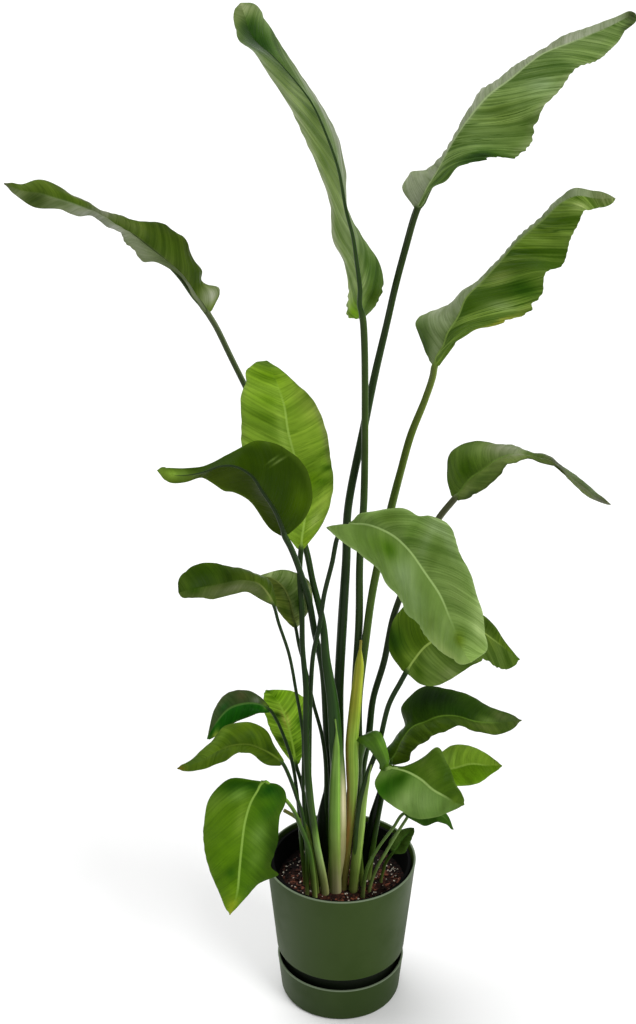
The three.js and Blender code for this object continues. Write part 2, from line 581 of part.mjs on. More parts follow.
// Points of the blade's middle sheet: rows run from its base to its tip.
function bladeSheet(plant, spine) {
  const first = plant.stalk.length + 1;
  const spans = spine.points.length - 1;
  const edge = (column) => new THREE.CatmullRomCurve3(plant.ribs.map((rib) => vector(rib[column])));
  const leftEdge = edge(0);
  const rightEdge = edge(2);
  const steps = plant.ribs.length < 10 ? 2 : 1;
  const rows = (plant.ribs.length - 1) * steps;
  const sheet = [];
  for (let j = 0; j <= rows; j += 1) {
    const share = j / rows;
    const middle = spine.getPoint((first + j / steps) / spans);
    const left = leftEdge.getPoint(share);
    const right = rightEdge.getPoint(share);
    const along = spine.getTangent((first + j / steps) / spans);
    const up = new THREE.Vector3().crossVectors(right.clone().sub(left), along).normalize();
    const fullness = Math.sin(Math.PI * Math.min(1, share * 1.1 + 0.02));
    const row = bladeColumns.map((column) => {
      const point = middle.clone().lerp(column < 0 ? left : right, Math.abs(column));
      const bulge = plant.crown * fullness * 4 * Math.abs(column) * (1 - Math.abs(column));
      const wave = plant.ripple * fullness * Math.sin(wavePitch * j / steps + 2 * column);
      return point.addScaledVector(up, bulge + (Math.abs(column) === 1 ? wave : 0));
    });
    sheet.push(row);
  }
  return sheet;
}

// Gives the middle sheet its thickness, with a keel under the midrib that fades to the tip.
function bladeSlices(plant, sheet) {
  const stalkRadius = plant.stalk.at(-1)[3];
  const lastRow = sheet.length - 1;
  const lastColumn = bladeColumns.length - 1;
  return sheet.map((row, j) => {
    const above = [];
    const below = [];
    const fade = 1 - j / lastRow;
    row.forEach((point, i) => {
      const across = row[Math.min(i + 1, lastColumn)].clone().sub(row[Math.max(i - 1, 0)]);
      const along = sheet[Math.min(j + 1, lastRow)][i].clone().sub(sheet[Math.max(j - 1, 0)][i]);
      const normal = new THREE.Vector3().crossVectors(across, along).normalize();
      const isMidrib = bladeColumns[i] === 0;
      const rise = bladeThickness / 2 + (isMidrib ? ridgeShare * stalkRadius * fade ** 3 : 0);
      const keel = bladeThickness / 2 + (isMidrib ? keelShare * stalkRadius * fade : 0);
      above.push(point.clone().addScaledVector(normal, rise));
      below.push(point.clone().addScaledVector(normal, -keel));
    });
    return { above, below };
  });
}

function leafGeometry(plant) {
  const start = new THREE.Vector3(plant.foot[0], plant.foot[1], collarTop);
  const middles = plant.ribs.map((rib) => vector(rib[1]));
  const spine = new THREE.CatmullRomCurve3([start, ...plant.stalk.map(vector), ...middles]);
  const sheet = bladeSheet(plant, spine);
  return skinned([...stalkSlices(plant, spine, bladeSide(plant)), ...bladeSlices(plant, sheet)]);
}

function spearGeometry() {
  const start = new THREE.Vector3(spear.foot[0], spear.foot[1], collarTop);
  const spine = new THREE.CatmullRomCurve3([start, ...spear.stalk.map(vector)]);
  return skinned(stalkSlices(spear, spine, footSide(spear)));
}

function solidOf(geometry) {
  const bare = geometry.clone();
  bare.deleteAttribute("normal");
  bare.deleteAttribute("uv");
  const merged = mergeVertices(bare, 1e-4);
  const vertProperties = new Float32Array(merged.attributes.position.array);
  const triVerts = new Uint32Array(merged.index.array);
  return new wasm.Manifold(new wasm.Mesh({ numProp: 3, vertProperties, triVerts }));
}

function geometryOf(solid) {
  const { vertProperties, triVerts } = solid.getMesh();
  const geometry = new THREE.BufferGeometry();
  geometry.setAttribute("position", new THREE.Float32BufferAttribute(vertProperties, 3));
  geometry.setIndex([...triVerts]);
  geometry.computeVertexNormals();
  return geometry;
}

// Soil fills the liner pot and has one plain hole for each stalk.
function soilGeometry(plants) {
  const bottom = linerBottom() + linerWall + seatGap;
  const edge = soilLevel - soilMound;
  let soil = solidOf(turned([
    [0, bottom],
    [linerInnerRadius(bottom) - seatGap, bottom],
    [linerInnerRadius(edge) - seatGap, edge],
    [60, soilLevel],
    [0, soilLevel],
  ]));
  for (const plant of plants) {
    const hole = skinned([
      footSlice(plant, holeFloor, holeClearance),
      footSlice(plant, holeTop, holeClearance),
    ]);
    soil = soil.subtract(solidOf(hole));
  }
  return geometryOf(soil);
}

const pottedPlant = new THREE.Group();
pottedPlant.add(meshOf("saucer", saucerGeometry(), saucerPlastic));
pottedPlant.add(meshOf("pot", potGeometry(), greenPlastic));
pottedPlant.add(meshOf("nursery_pot", linerGeometry(), blackPlastic));
for (const [name, plant] of Object.entries(leaves)) {
  pottedPlant.add(meshOf(name, leafGeometry(plant), plant.skin));
}
pottedPlant.add(meshOf("young_sheath", spearGeometry(), spear.skin));
pottedPlant.add(meshOf("soil", soilGeometry([...Object.values(leaves), spear]), soilMix));

export default pottedPlant;
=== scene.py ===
import math
import random

import bpy
from mathutils import Matrix, Vector, noise


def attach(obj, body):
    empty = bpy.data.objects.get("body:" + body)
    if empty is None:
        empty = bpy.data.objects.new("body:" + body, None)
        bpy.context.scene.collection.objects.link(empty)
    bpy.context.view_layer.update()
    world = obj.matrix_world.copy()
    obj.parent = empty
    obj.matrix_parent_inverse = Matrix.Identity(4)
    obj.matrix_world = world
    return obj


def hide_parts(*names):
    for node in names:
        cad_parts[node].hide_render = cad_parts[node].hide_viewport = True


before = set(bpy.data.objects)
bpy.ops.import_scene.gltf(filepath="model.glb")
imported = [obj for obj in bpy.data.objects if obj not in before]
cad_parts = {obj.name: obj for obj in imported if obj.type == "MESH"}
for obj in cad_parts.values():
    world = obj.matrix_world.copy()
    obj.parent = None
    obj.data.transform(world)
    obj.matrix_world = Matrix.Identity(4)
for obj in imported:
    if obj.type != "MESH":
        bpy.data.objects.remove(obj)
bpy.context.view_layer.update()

mm = 0.001  # points of leaves and pots are in millimetres, as in the CAD


def makeActive(piece):
    bpy.ops.object.select_all(action="DESELECT")
    piece.select_set(True)
    bpy.context.view_layer.objects.active = piece


def finishModifier(piece, kind, **settings):
    makeActive(piece)
    modifier = piece.modifiers.new(kind.lower(), kind)
    for name, value in settings.items():
        setattr(modifier, name, value)
    bpy.ops.object.modifier_apply(modifier=modifier.name)


def joinPieces(name, pieces):
    makeActive(pieces[0])
    for piece in pieces:
        piece.select_set(True)
    if len(pieces) > 1:
        bpy.ops.object.join()
    pieces[0].name = pieces[0].data.name = name
    return pieces[0]


def smoothShade(degrees):
    bpy.ops.object.shade_smooth_by_angle(angle=math.radians(degrees))


def smoothStep(low, high, value):
    share = min(1, max(0, (value - low) / (high - low)))
    return share * share * (3 - 2 * share)


def screenColour(red, green, blue):
    # a colour as seen on a screen, 0 to 255, made linear for the shader
    def linear(value):
        share = value / 255
        return share / 12.92 if share <= 0.04045 else ((share + 0.055) / 1.055) ** 2.4
    return (linear(red), linear(green), linear(blue), 1)


def mixColours(first, second, share):
    return tuple(a + (b - a) * share for a, b in zip(first, second))


# node helpers: a value may be a number, a colour or another node's socket

def plug(tree, socket, value):
    if isinstance(value, bpy.types.NodeSocket):
        tree.links.new(value, socket)
    elif value is not None:
        socket.default_value = value


def filledNode(tree, kind, **values):
    node = tree.nodes.new(kind)
    for name, value in values.items():
        plug(tree, node.inputs[name.replace("_", " ")], value)
    return node


def mathNode(tree, operation, first, second=None, third=None):
    node = tree.nodes.new("ShaderNodeMath")
    node.operation = operation
    for socket, value in zip(node.inputs, (first, second, third)):
        plug(tree, socket, value)
    return node.outputs[0]


def timesNode(tree, first, second):
    return mathNode(tree, "MULTIPLY", first, second)


def fadeNode(tree, value, low, high, start=0.0, end=1.0):
    node = filledNode(
        tree, "ShaderNodeMapRange", Value=value, From_Min=low, From_Max=high, To_Min=start, To_Max=end)
    node.interpolation_type = "SMOOTHSTEP"
    return node.outputs["Result"]


def mixNode(tree, share, first, second, blend="MIX"):
    node = tree.nodes.new("ShaderNodeMix")
    node.data_type = "RGBA"
    node.blend_type = blend
    plug(tree, node.inputs["Factor"], share)
    plug(tree, node.inputs[6], first)
    plug(tree, node.inputs[7], second)
    return node.outputs[2]


def dyedNode(tree, colour, dye):
    return mixNode(tree, 1.0, colour, dye, "MULTIPLY")


def noiseNode(tree, vector, scale, detail, roughness=0.55):
    node = filledNode(
        tree, "ShaderNodeTexNoise", Vector=vector, Scale=scale, Detail=detail, Roughness=roughness)
    return node.outputs["Fac"]


def patchyNode(tree, vector, scale, detail, low, high, roughness=0.55):
    return fadeNode(tree, noiseNode(tree, vector, scale, detail, roughness), low, high)


def combineNode(tree, x, y, z):
    return filledNode(tree, "ShaderNodeCombineXYZ", X=x, Y=y, Z=z).outputs[0]


def separateNode(tree, vector):
    return filledNode(tree, "ShaderNodeSeparateXYZ", Vector=vector).outputs


def uvNode(tree, name):
    node = tree.nodes.new("ShaderNodeUVMap")
    node.uv_map = name
    return separateNode(tree, node.outputs[0])


def objectNode(tree):
    return tree.nodes.new("ShaderNodeTexCoord").outputs["Object"]


def tintNode(tree, name):
    node = tree.nodes.new("ShaderNodeAttribute")
    node.attribute_name = name
    return node.outputs["Color"], node.outputs["Alpha"]


def newMaterial(name, specular):
    material = bpy.data.materials.new(name)
    material.use_nodes = True
    tree = material.node_tree
    shader = tree.nodes["Principled BSDF"]
    shader.inputs["Specular IOR Level"].default_value = specular
    return material, tree, shader


def finishShader(tree, shader, colour, roughness, height, bump):
    # bump: its strength and its depth in metres
    strength, distance = bump
    relief = filledNode(tree, "ShaderNodeBump", Height=height, Strength=strength, Distance=distance)
    plug(tree, shader.inputs["Base Color"], colour)
    plug(tree, shader.inputs["Roughness"], roughness)
    plug(tree, shader.inputs["Normal"], relief.outputs[0])


# leaves: their colours are given as seen on a screen, 0 to 255, with the light and shade on each leaf painted in, and
# stored on the mesh

veins = {
    # streaks: how many in a metre of blade, their drift outwards, the noise values they fade between
    "band": (17, 3.0, 0.36, 0.64), "broad": (48, 5.0, 0.4, 0.6), "fine": (300, 8.0, 0.35, 0.68),
    "creaseShadow": (90, 5.0, 0.0, 1.0), "creaseAt": 0.45, "creaseWidth": 0.05, "halvesApart": 7.3,
    "cloud": (16.0, 4.0, 0.36, 0.66),
    "deep": (0.28, 0.4, 0.08, 1), "pale": (1.6, 1.45, 1.7, 1),
    # how much each of them counts
    "broadShare": 0.65, "bandShare": 0.5, "waveMiddle": 0.58, "deepShare": 0.37,
    "fineShare": 0.6, "creaseShadowShare": 0.9, "cloudShare": 0.3,
    "ribHalf": (0.0008, 0.0026), "relief": -0.6, "bump": (0.5, 0.0008),
    "gloss": 0.03, "roughness": (0.34, 0.52),
}


def bladeMaterial(name, tint):
    material, tree, shader = newMaterial(name, veins["gloss"])
    colour, stripe = tintNode(tree, tint)
    outwards, onwards, _ = uvNode(tree, "metres")  # the second one already runs along the veins
    distance = mathNode(tree, "ABSOLUTE", outwards)
    side = mathNode(tree, "GREATER_THAN", outwards, 0.0)

    def streak(kind):
        count, drift, low, high = veins[kind]
        place = combineNode(
            tree, timesNode(tree, onwards, count), timesNode(tree, distance, drift),
            timesNode(tree, side, veins["halvesApart"]))
        return patchyNode(tree, place, 1.0, 2.0, low, high)

    broad = streak("broad")
    # thin dark lines along random creases: painted shadow in the creases
    toCrease = mathNode(tree, "ABSOLUTE", mathNode(tree, "SUBTRACT", streak("creaseShadow"), veins["creaseAt"]))
    creaseShadow = fadeNode(tree, toCrease, 0.0, veins["creaseWidth"], 1.0, 0.0)
    cloud = patchyNode(tree, objectNode(tree), *veins["cloud"])
    deep, pale = (dyedNode(tree, colour, veins[dye]) for dye in ("deep", "pale"))
    # the streaks between pale and deep are the veins' own colour and also painted sheen and shade along the pleats
    waves = mathNode(
        tree, "ADD", timesNode(tree, broad, veins["broadShare"]), timesNode(tree, streak("band"), veins["bandShare"]))
    waves = mathNode(tree, "SUBTRACT", waves, veins["waveMiddle"])
    colour = mixNode(tree, mathNode(tree, "MULTIPLY_ADD", waves, stripe, veins["deepShare"]), pale, deep)
    lines = mathNode(
        tree, "MAXIMUM", timesNode(tree, streak("fine"), veins["fineShare"]),
        timesNode(tree, creaseShadow, veins["creaseShadowShare"]))
    colour = mixNode(tree, timesNode(tree, lines, stripe), colour, deep)
    colour = mixNode(tree, timesNode(tree, cloud, veins["cloudShare"]), colour, deep)
    if tint == "upperTint":
        ribColour, ribStrength = tintNode(tree, "ribTint")
        rib = timesNode(tree, ribStrength, fadeNode(tree, distance, *veins["ribHalf"], 1.0, 0.0))
        colour = mixNode(tree, rib, colour, ribColour)
    relief = mathNode(tree, "SUBTRACT", timesNode(tree, broad, veins["relief"]), lines)
    roughness = fadeNode(tree, cloud, 0.0, 1.0, *veins["roughness"])
    finishShader(tree, shader, colour, roughness, relief, veins["bump"])
    return material


stalkLook = {
    "around": 26.0, "along": 6.0,  # streaks round the stalk, and how often they change in a metre
    "streak": (1.0, 3.0, 0.38, 0.66), "cloud": (22.0, 3.0, 0.4, 0.7), "deep": (0.5, 0.6, 0.3, 1),
    "streakShare": 0.6, "cloudShare": 0.4, "gloss": 0.14, "roughness": (0.34, 0.5), "bump": (0.25, 0.0006),
}


def stalkMaterial(name):
    material, tree, shader = newMaterial(name, stalkLook["gloss"])
    colour, _ = tintNode(tree, "stalkTint")
    around = timesNode(tree, uvNode(tree, "share")[0], stalkLook["around"])
    along = timesNode(tree, uvNode(tree, "metres")[1], stalkLook["along"])
    streak = patchyNode(tree, combineNode(tree, around, along, 0.0), *stalkLook["streak"])
    cloud = patchyNode(tree, objectNode(tree), *stalkLook["cloud"])
    deep = dyedNode(tree, colour, stalkLook["deep"])
    for share, strength in ((streak, stalkLook["streakShare"]), (cloud, stalkLook["cloudShare"])):
        colour = mixNode(tree, timesNode(tree, share, strength), colour, deep)
    roughness = fadeNode(tree, cloud, 0.0, 1.0, *stalkLook["roughness"])
    finishShader(tree, shader, colour, roughness, streak, stalkLook["bump"])
    return material


bladeUpper = bladeMaterial("bladeUpper", "upperTint")
bladeUnder = bladeMaterial("bladeUnder", "underTint")
stalkSkin = stalkMaterial("stalkSkin")

tinting = {
    "patchFall": 1.2, "patchEnd": 6,
    "halvesBlend": 0.04, "tipFrom": 0.88, "tipShare": 0.6, "marginFrom": 0.86, "marginShare": 0.55,
    "ribShare": 0.85, "ribEnd": 0.8, "ribEndBefore": 0.15, "ribEndAfter": 0.1, "ribFootEnds": (0.45, 0.6),
}


def addMarksAndPaintedLight(colour, patches, u, v):
    # a patch: its place across and along, its reach both ways, its colour and strength; patches hold the leaf's or
    # stalk's own marks and also painted sheen, highlights and shade
    for placeU, placeV, reachU, reachV, patch, strength in patches:
        away = ((u - placeU) / reachU) ** 2 + ((v - placeV) / reachV) ** 2
        if away < tinting["patchEnd"]:
            colour = mixColours(colour, patch, strength * math.exp(-away * tinting["patchFall"]))
    return colour


def ribColourAt(plan, along):
    return mixColours(plan.get("ribFoot", plan["rib"]), plan["rib"], smoothStep(*tinting["ribFootEnds"], along))


def bladeTints(plan, offset, along):
    # offset runs from -1 at the left edge to 1 at the right one, along from the foot to the tip
    stripe = plan["stripe"][0 if offset < 0 else 1]
    blend = tinting["halvesBlend"]
    tints = []
    for side in ("upper", "under"):
        colour = mixColours(*plan[side], smoothStep(-blend, blend, offset))
        if side == plan.get("seen", "upper"):
            # the tip and margin colours are partly the leaf's own and partly painted sheen
            atTip = tinting["tipShare"] * smoothStep(tinting["tipFrom"], 1, along)
            atMargin = tinting["marginShare"] * smoothStep(tinting["marginFrom"], 1, abs(offset))
            colour = mixColours(colour, plan["tip"], atTip)
            colour = mixColours(colour, plan["margin"], atMargin)
            colour = addMarksAndPaintedLight(colour, plan["patches"], offset, along)
        tints.append((*screenColour(*colour)[:3], stripe))
    ribEnd = plan.get("ribEnd", tinting["ribEnd"])
    ended = smoothStep(ribEnd - tinting["ribEndBefore"], ribEnd + tinting["ribEndAfter"], along)
    tints.append((*screenColour(*ribColourAt(plan, along))[:3], tinting["ribShare"] * (1 - ended)))
    return tints


def curvePoint(points, place):
    # centripetal curve through all the points; place counts them from 0
    last = len(points) - 1
    index = min(max(int(place), 0), last - 1)
    part = place - index
    b, c = points[index], points[index + 1]
    a = points[index - 1] if index > 0 else b * 2 - c
    d = points[index + 2] if index + 2 <= last else c * 2 - b
    ab, bc, cd = (max((q - p).length, 1e-5) ** 0.5 for p, q in ((a, b), (b, c), (c, d)))
    slopeB = ((b - a) / ab - (c - a) / (ab + bc) + (c - b) / bc) * bc
    slopeC = ((c - b) / bc - (d - b) / (bc + cd) + (d - c) / cd) * bc
    squared, cubed = part * part, part ** 3
    return (b * (2 * cubed - 3 * squared + 1) + slopeB * (cubed - 2 * squared + part)
            + c * (3 * squared - 2 * cubed) + slopeC * (cubed - squared))


def directionAt(points, place, last):
    step = 0.02
    ahead, behind = min(place + step, last), max(place - step, 0)
    return (curvePoint(points, ahead) - curvePoint(points, behind)).normalized()


def numberAt(numbers, place):
    index = min(max(int(place), 0), len(numbers) - 2)
    return numbers[index] + (numbers[index + 1] - numbers[index]) * (place - index)


class Route:
    # a curve that can be walked by length, between two of its places
    def __init__(self, points, start, end, steps=400):
        self.places = [start + (end - start) * n / steps for n in range(steps + 1)]
        self.lengths = [0.0]
        spots = [curvePoint(points, place) for place in self.places]
        for before, after in zip(spots, spots[1:]):
            self.lengths.append(self.lengths[-1] + (after - before).length)
        self.length = self.lengths[-1]

    def place(self, share):
        wanted = share * self.length
        low, high = 0, len(self.lengths) - 1
        while high - low > 1:
            middle = (low + high) // 2
            low, high = (middle, high) if self.lengths[middle] <= wanted else (low, middle)
        span = self.lengths[high] - self.lengths[low]
        part = (wanted - self.lengths[low]) / span if span > 0 else 0
        return self.places[low] + (self.places[high] - self.places[low]) * part


def shapedGrid(name, columns, rows, spot, tints=()):
    # a grid whose points are set by spot(across, along): place, share, metres and colours
    bpy.ops.object.select_all(action="DESELECT")
    bpy.ops.mesh.primitive_grid_add(x_subdivisions=columns, y_subdivisions=rows, size=1)
    piece = bpy.context.object
    piece.name = name
    mesh = piece.data
    spots = [spot(round(v.co.x + 0.5, 6), round(v.co.y + 0.5, 6)) for v in mesh.vertices]
    while mesh.uv_layers:
        mesh.uv_layers.remove(mesh.uv_layers[0])
    for layer, pick in (("share", 1), ("metres", 2)):
        data = mesh.uv_layers.new(name=layer).data
        for loop in mesh.loops:
            data[loop.index].uv = spots[loop.vertex_index][pick]
    for number, tint in enumerate(tints):
        values = mesh.attributes.new(tint, "FLOAT_COLOR", "POINT").data
        for value, found in zip(values, spots):
            value.color = found[3][number]
    for vertex, found in zip(mesh.vertices, spots):
        vertex.co = found[0]
    return piece


bladeShape = {
    "rowLength": 2.2, "fewestRows": 36, "columns": 30, "thickness": 0.8,
    "edgeWaver": (0.015, 70), "frayWaver": 130, "frayBlend": (0.02, 0.01),
    "pleat": (17, 0.7), "lean": (0.6, 0.6), "roundBend": (2, 0.5),
    "tipFrom": 0.965, "tipTaper": 0.75, "widenOver": 0.15,
    "waveTurn": 4.2, "veinReach": 2.2, "veinBend": 1.3, "crumple": 0.9,
}


def edgeShare(plan, offset, along, metresOn):
    # small unevenness of the margin, more where it is torn or frayed, and lobes
    waver, often = bladeShape["edgeWaver"]
    share = 1 + waver * noise.noise(Vector((metresOn * often, offset * 9, 1)))
    wide, narrow = bladeShape["frayBlend"]
    for side, start, end, depth in plan.get("ragged", ()):
        if side * offset > 0 and start - wide < along < end + wide:
            inside = smoothStep(start - wide, start + narrow, along)
            inside *= 1 - smoothStep(end - narrow, end + wide, along)
            fray = noise.noise(Vector((metresOn * bladeShape["frayWaver"], side * 5, plan["foot"][0])))
            share -= depth * inside * (0.5 + fray)
    for side, centre, reach, more in plan.get("lobes", ()):
        if side * offset > 0:
            share += more * math.exp(-((along - centre) / reach) ** 2)
    return share


def growBlade(name, plan, spine, firstRib):
    lefts, rights = ([Vector(rib[n]) * mm for rib in plan["ribs"]] for n in (0, 2))
    lastRib = len(lefts) - 1
    route = Route(spine, firstRib, firstRib + lastRib)
    rows = max(bladeShape["fewestRows"], int(route.length / (bladeShape["rowLength"] * mm)))
    spacing, height = plan.get("pleat", bladeShape["pleat"])
    leans = plan.get("lean", bladeShape["lean"])
    bend, power = plan.get("roundBend", bladeShape["roundBend"])
    roundFrom, shoulders = plan.get("round", 2), []
    widenFrom, widenTo = plan.get("widen", (2, 1))
    footX, footY, _ = plan["foot"]
    sections = {}

    def section(along):
        place = route.place(along)
        rib = place - firstRib
        middle = curvePoint(spine, place)
        forward = directionAt(spine, place, firstRib + lastRib)
        left, right = curvePoint(lefts, rib), curvePoint(rights, rib)
        face = (right - left).cross(forward).normalized()
        taper = 1 - bladeShape["tipTaper"] * smoothStep(bladeShape["tipFrom"], 1, along)
        if along > roundFrom:
            if not shoulders:
                shoulders.extend(((left - middle).length, (right - middle).length))
            taper = max(0.001, 1 - ((along - roundFrom) / (1 - roundFrom)) ** bend) ** power
            left = middle + (left - middle).normalized() * shoulders[0]
            right = middle + (right - middle).normalized() * shoulders[1]
        return rib, middle, forward, left, right, face, taper

    def spot(across, along):
        if along not in sections:
            sections[along] = section(along)
        rib, middle, forward, left, right, face, taper = sections[along]
        offset = across * 2 - 1
        reach = abs(offset)
        metresOn = along * route.length
        edge = (left if offset < 0 else right) - middle
        edge = edge * edgeShare(plan, offset, along, metresOn)
        edge = edge * (1 + (widenTo - 1) * smoothStep(widenFrom, widenFrom + bladeShape["widenOver"], along))
        halfFace = (edge.cross(forward) * (1 if offset > 0 else -1)).normalized() if edge.length > 1e-6 else face
        # the crown between rib and edge, and the wave of the edge
        fullness = math.sin(math.pi * min(1, rib / lastRib * 1.1 + 0.02))
        wave = math.sin(bladeShape["waveTurn"] * rib + 2 * math.copysign(1, offset))
        rise = plan["crown"] * fullness * 4 * reach * (1 - reach)
        rise += plan["ripple"] * fullness * wave * reach ** 3
        # the pleats between the veins, which run forward on their way out
        metresOut = edge.length * reach * taper
        lean = leans[0 if offset < 0 else 1]
        onVein = metresOn - bladeShape["veinReach"] * lean * metresOut ** bladeShape["veinBend"]
        phase = onVein / (spacing * mm)
        phase += 0.8 * noise.noise(Vector((metresOn * 14, offset * 1.5, footX)))
        flute = math.sin(2 * math.pi * phase) * smoothStep(0.03, 0.3, reach) * smoothStep(0, 0.12, along)
        flute *= 0.55 + 0.45 * noise.noise(Vector((metresOn * 9, offset * 2, 5)))
        crumple = noise.noise(Vector((metresOn * 22, metresOut * 22 + 3, footY + offset)))
        lift = flute * height + crumple * bladeShape["crumple"] * reach
        point = middle + edge * reach * taper + face * rise * mm
        point += halfFace * lift * mm * fullness
        metres = (math.copysign(metresOut, offset), onVein + footX * 0.37)
        return point, (across, along), metres, bladeTints(plan, offset, along)

    blade = shapedGrid(name, bladeShape["columns"], rows, spot, ("upperTint", "underTint", "ribTint"))
    blade.data.materials.append(bladeUpper)
    blade.data.materials.append(bladeUnder)
    finishModifier(
        blade, "SOLIDIFY", thickness=bladeShape["thickness"] * mm, offset=0, use_even_offset=False,
        material_offset=1, material_offset_rim=0)
    return blade, route.length


stalkShape = {
    "sides": 20, "rowLength": 5, "mergeWithin": 0.001, "grooveWidth": 0.07, "grooveDepth": 0.28,
    "ribSink": 0.93, "ribStart": 0.8, "thinnestRib": 0.12,
}


def tubeGrid(name, sides, rows, cut):
    # a tube rolled from a grid; cut(along) gives centre, side, face, radius, depth, groove, metres, tint
    cuts = {}

    def spot(around, along):
        if along not in cuts:
            cuts[along] = cut(along)
        centre, side, face, radius, depth, groove, metres, tint = cuts[along]
        angle = 2 * math.pi * around
        dip = 1 - groove * math.exp(-((around - 0.25) / stalkShape["grooveWidth"]) ** 2)
        out = side * math.cos(angle) * -radius + face * math.sin(angle) * depth * dip
        colour = (*screenColour(*tint(out.normalized().x, math.sin(angle), (centre + out).z))[:3], 1)
        return centre + out, (around, along), (angle * radius, metres), (colour,)

    tube = shapedGrid(name, sides, rows, spot, ("stalkTint",))
    makeActive(tube)
    bpy.ops.object.mode_set(mode="EDIT")
    bpy.ops.mesh.select_all(action="SELECT")
    bpy.ops.mesh.remove_doubles(threshold=stalkShape["mergeWithin"] * mm)
    bpy.ops.mesh.select_all(action="SELECT")
    bpy.ops.mesh.fill_holes(sides=0)
    bpy.ops.mesh.select_all(action="SELECT")
    bpy.ops.mesh.normals_make_consistent(inside=False)
    bpy.ops.object.mode_set(mode="OBJECT")
    return tube


soilTop = 214
footBottom = 176
plantSmoothing = 55  # edges flatter than this many degrees are shaded smooth

# the near-black colours at middle heights are painted shade where the stalks crowd and shade each other
stalkColoursAndShade = [  # height in metres and colour
    (0.2, (120, 122, 78)), (0.23, (84, 102, 44)), (0.28, (48, 72, 20)), (0.36, (30, 52, 10)),
    (0.5, (24, 46, 6)), (0.7, (20, 40, 5)), (1.0, (28, 48, 8)), (1.3, (40, 54, 18)), (1.7, (44, 58, 22)),
]


def stalkColourAt(plan, height):
    shades = plan.get("shades", stalkColoursAndShade)
    for (low, first), (high, second) in zip(shades, shades[1:]):
        if height <= high:
            return mixColours(first, second, min(1, max(0, (height - low) / (high - low))))
    return shades[-1][1]


def growStalk(name, plan, spine, firstRib, bladeLength):
    ribs = plan.get("ribs")
    lastPlace = len(spine) - 1
    route = Route(spine, 0, lastPlace)
    radii = [plan["foot"][2]] * 2 + [point[3] for point in plan["stalk"]]
    spreads = [1, 1] + [point[4] if len(point) > 4 else 1 for point in plan["stalk"]]
    bladeRadius = radii[-1]
    bladeSide = (Vector(ribs[2][2]) - Vector(ribs[2][0])).normalized() if ribs else Vector((1, 0, 0))
    footSide = Vector((-1 if bladeSide.x < 0 else 1, 0, 0))
    flatness = plan.get("flatness", 1)
    lefts, rights = ([Vector(rib[n]) * mm for rib in ribs] for n in (0, 2)) if ribs else (None, None)
    stalkLength = route.length - bladeLength

    def tint(onRib):
        # colour of the stalk, which runs out into the midrib: pale above, its own colour below
        def pick(sideways, above, height):
            colour = stalkColourAt(plan, height)
            # painted light: the side of the stalk facing +x, towards the key lamp, is painted paler
            paintedLitSide = tuple(min(255, 1.5 * c + 12) for c in colour)
            colour = mixColours(colour, paintedLitSide, 0.7 * smoothStep(0.2, 0.9, sideways))
            colour = addMarksAndPaintedLight(colour, plan.get("stalkPatches", ()), sideways, height)
            if onRib <= 0:
                return colour
            rib = ribColourAt(plan, onRib / (lastPlace - firstRib))
            rib = mixColours(plan["ribUnder"], rib, smoothStep(-0.2, 0.35, above))
            return mixColours(colour, rib, smoothStep(0, 0.6, onRib))
        return pick

    def cut(along):
        place = route.place(along)
        centre = curvePoint(spine, place)
        forward = directionAt(spine, place, lastPlace)
        metres = along * route.length - stalkLength
        onBlade = max(0, place - firstRib)
        share = min(1, place / firstRib)
        side = footSide.lerp(bladeSide, share)
        if onBlade > 0 and ribs:
            across = curvePoint(rights, onBlade) - curvePoint(lefts, onBlade)
            side = side.lerp(across.normalized(), min(1, onBlade))
        side = (side - forward * side.dot(forward)).normalized()
        face = side.cross(forward)
        if onBlade > 0:
            rest = 1 - onBlade / (lastPlace - firstRib)
            radius = max(stalkShape["thinnestRib"], bladeRadius * stalkShape["ribStart"] * (1.1 * rest - 0.1))
            radius = bladeRadius + (radius - bladeRadius) * smoothStep(0, 0.6, onBlade)
            sink = stalkShape["ribSink"] * radius * smoothStep(0, 0.8, onBlade)
            return centre - face * sink * mm, side, face, radius * mm, radius * mm, 0.0, metres, tint(onBlade)
        radius = numberAt(radii, min(place + 1, len(radii) - 1)) if place >= 1 else radii[0]
        spread = numberAt(spreads, min(place, len(spreads) - 1))  # how much wider than deep it is
        depth = radius * (flatness + (1 - flatness) * share) / spread ** 0.5
        groove = stalkShape["grooveDepth"] * smoothStep(0.35, 0.75, share) * (1 - smoothStep(0.97, 1, share))
        return centre, side, face, radius * spread * mm, depth * mm, groove, metres, tint(0)

    stalk = tubeGrid(name, stalkShape["sides"], int(route.length / (stalkShape["rowLength"] * mm)), cut)
    stalk.data.materials.append(stalkSkin)
    return stalk


def footPoints(plan):
    x, y, _ = plan["foot"]
    return [Vector((x, y, footBottom)), Vector((x, y, soilTop + 2))] + [Vector(p[:3]) for p in plan["stalk"]]


def growLeaf(name, node, plan):
    points = footPoints(plan)
    spine = [point * mm for point in points + [Vector(rib[1]) for rib in plan["ribs"]]]
    blade, bladeLength = growBlade(name + "Blade", plan, spine, len(points))
    stem = growStalk(name + "Stalk", plan, spine, len(points), bladeLength)
    leaf = joinPieces(name, [blade, stem])
    smoothShade(plantSmoothing)
    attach(leaf, "root")
    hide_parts(node)
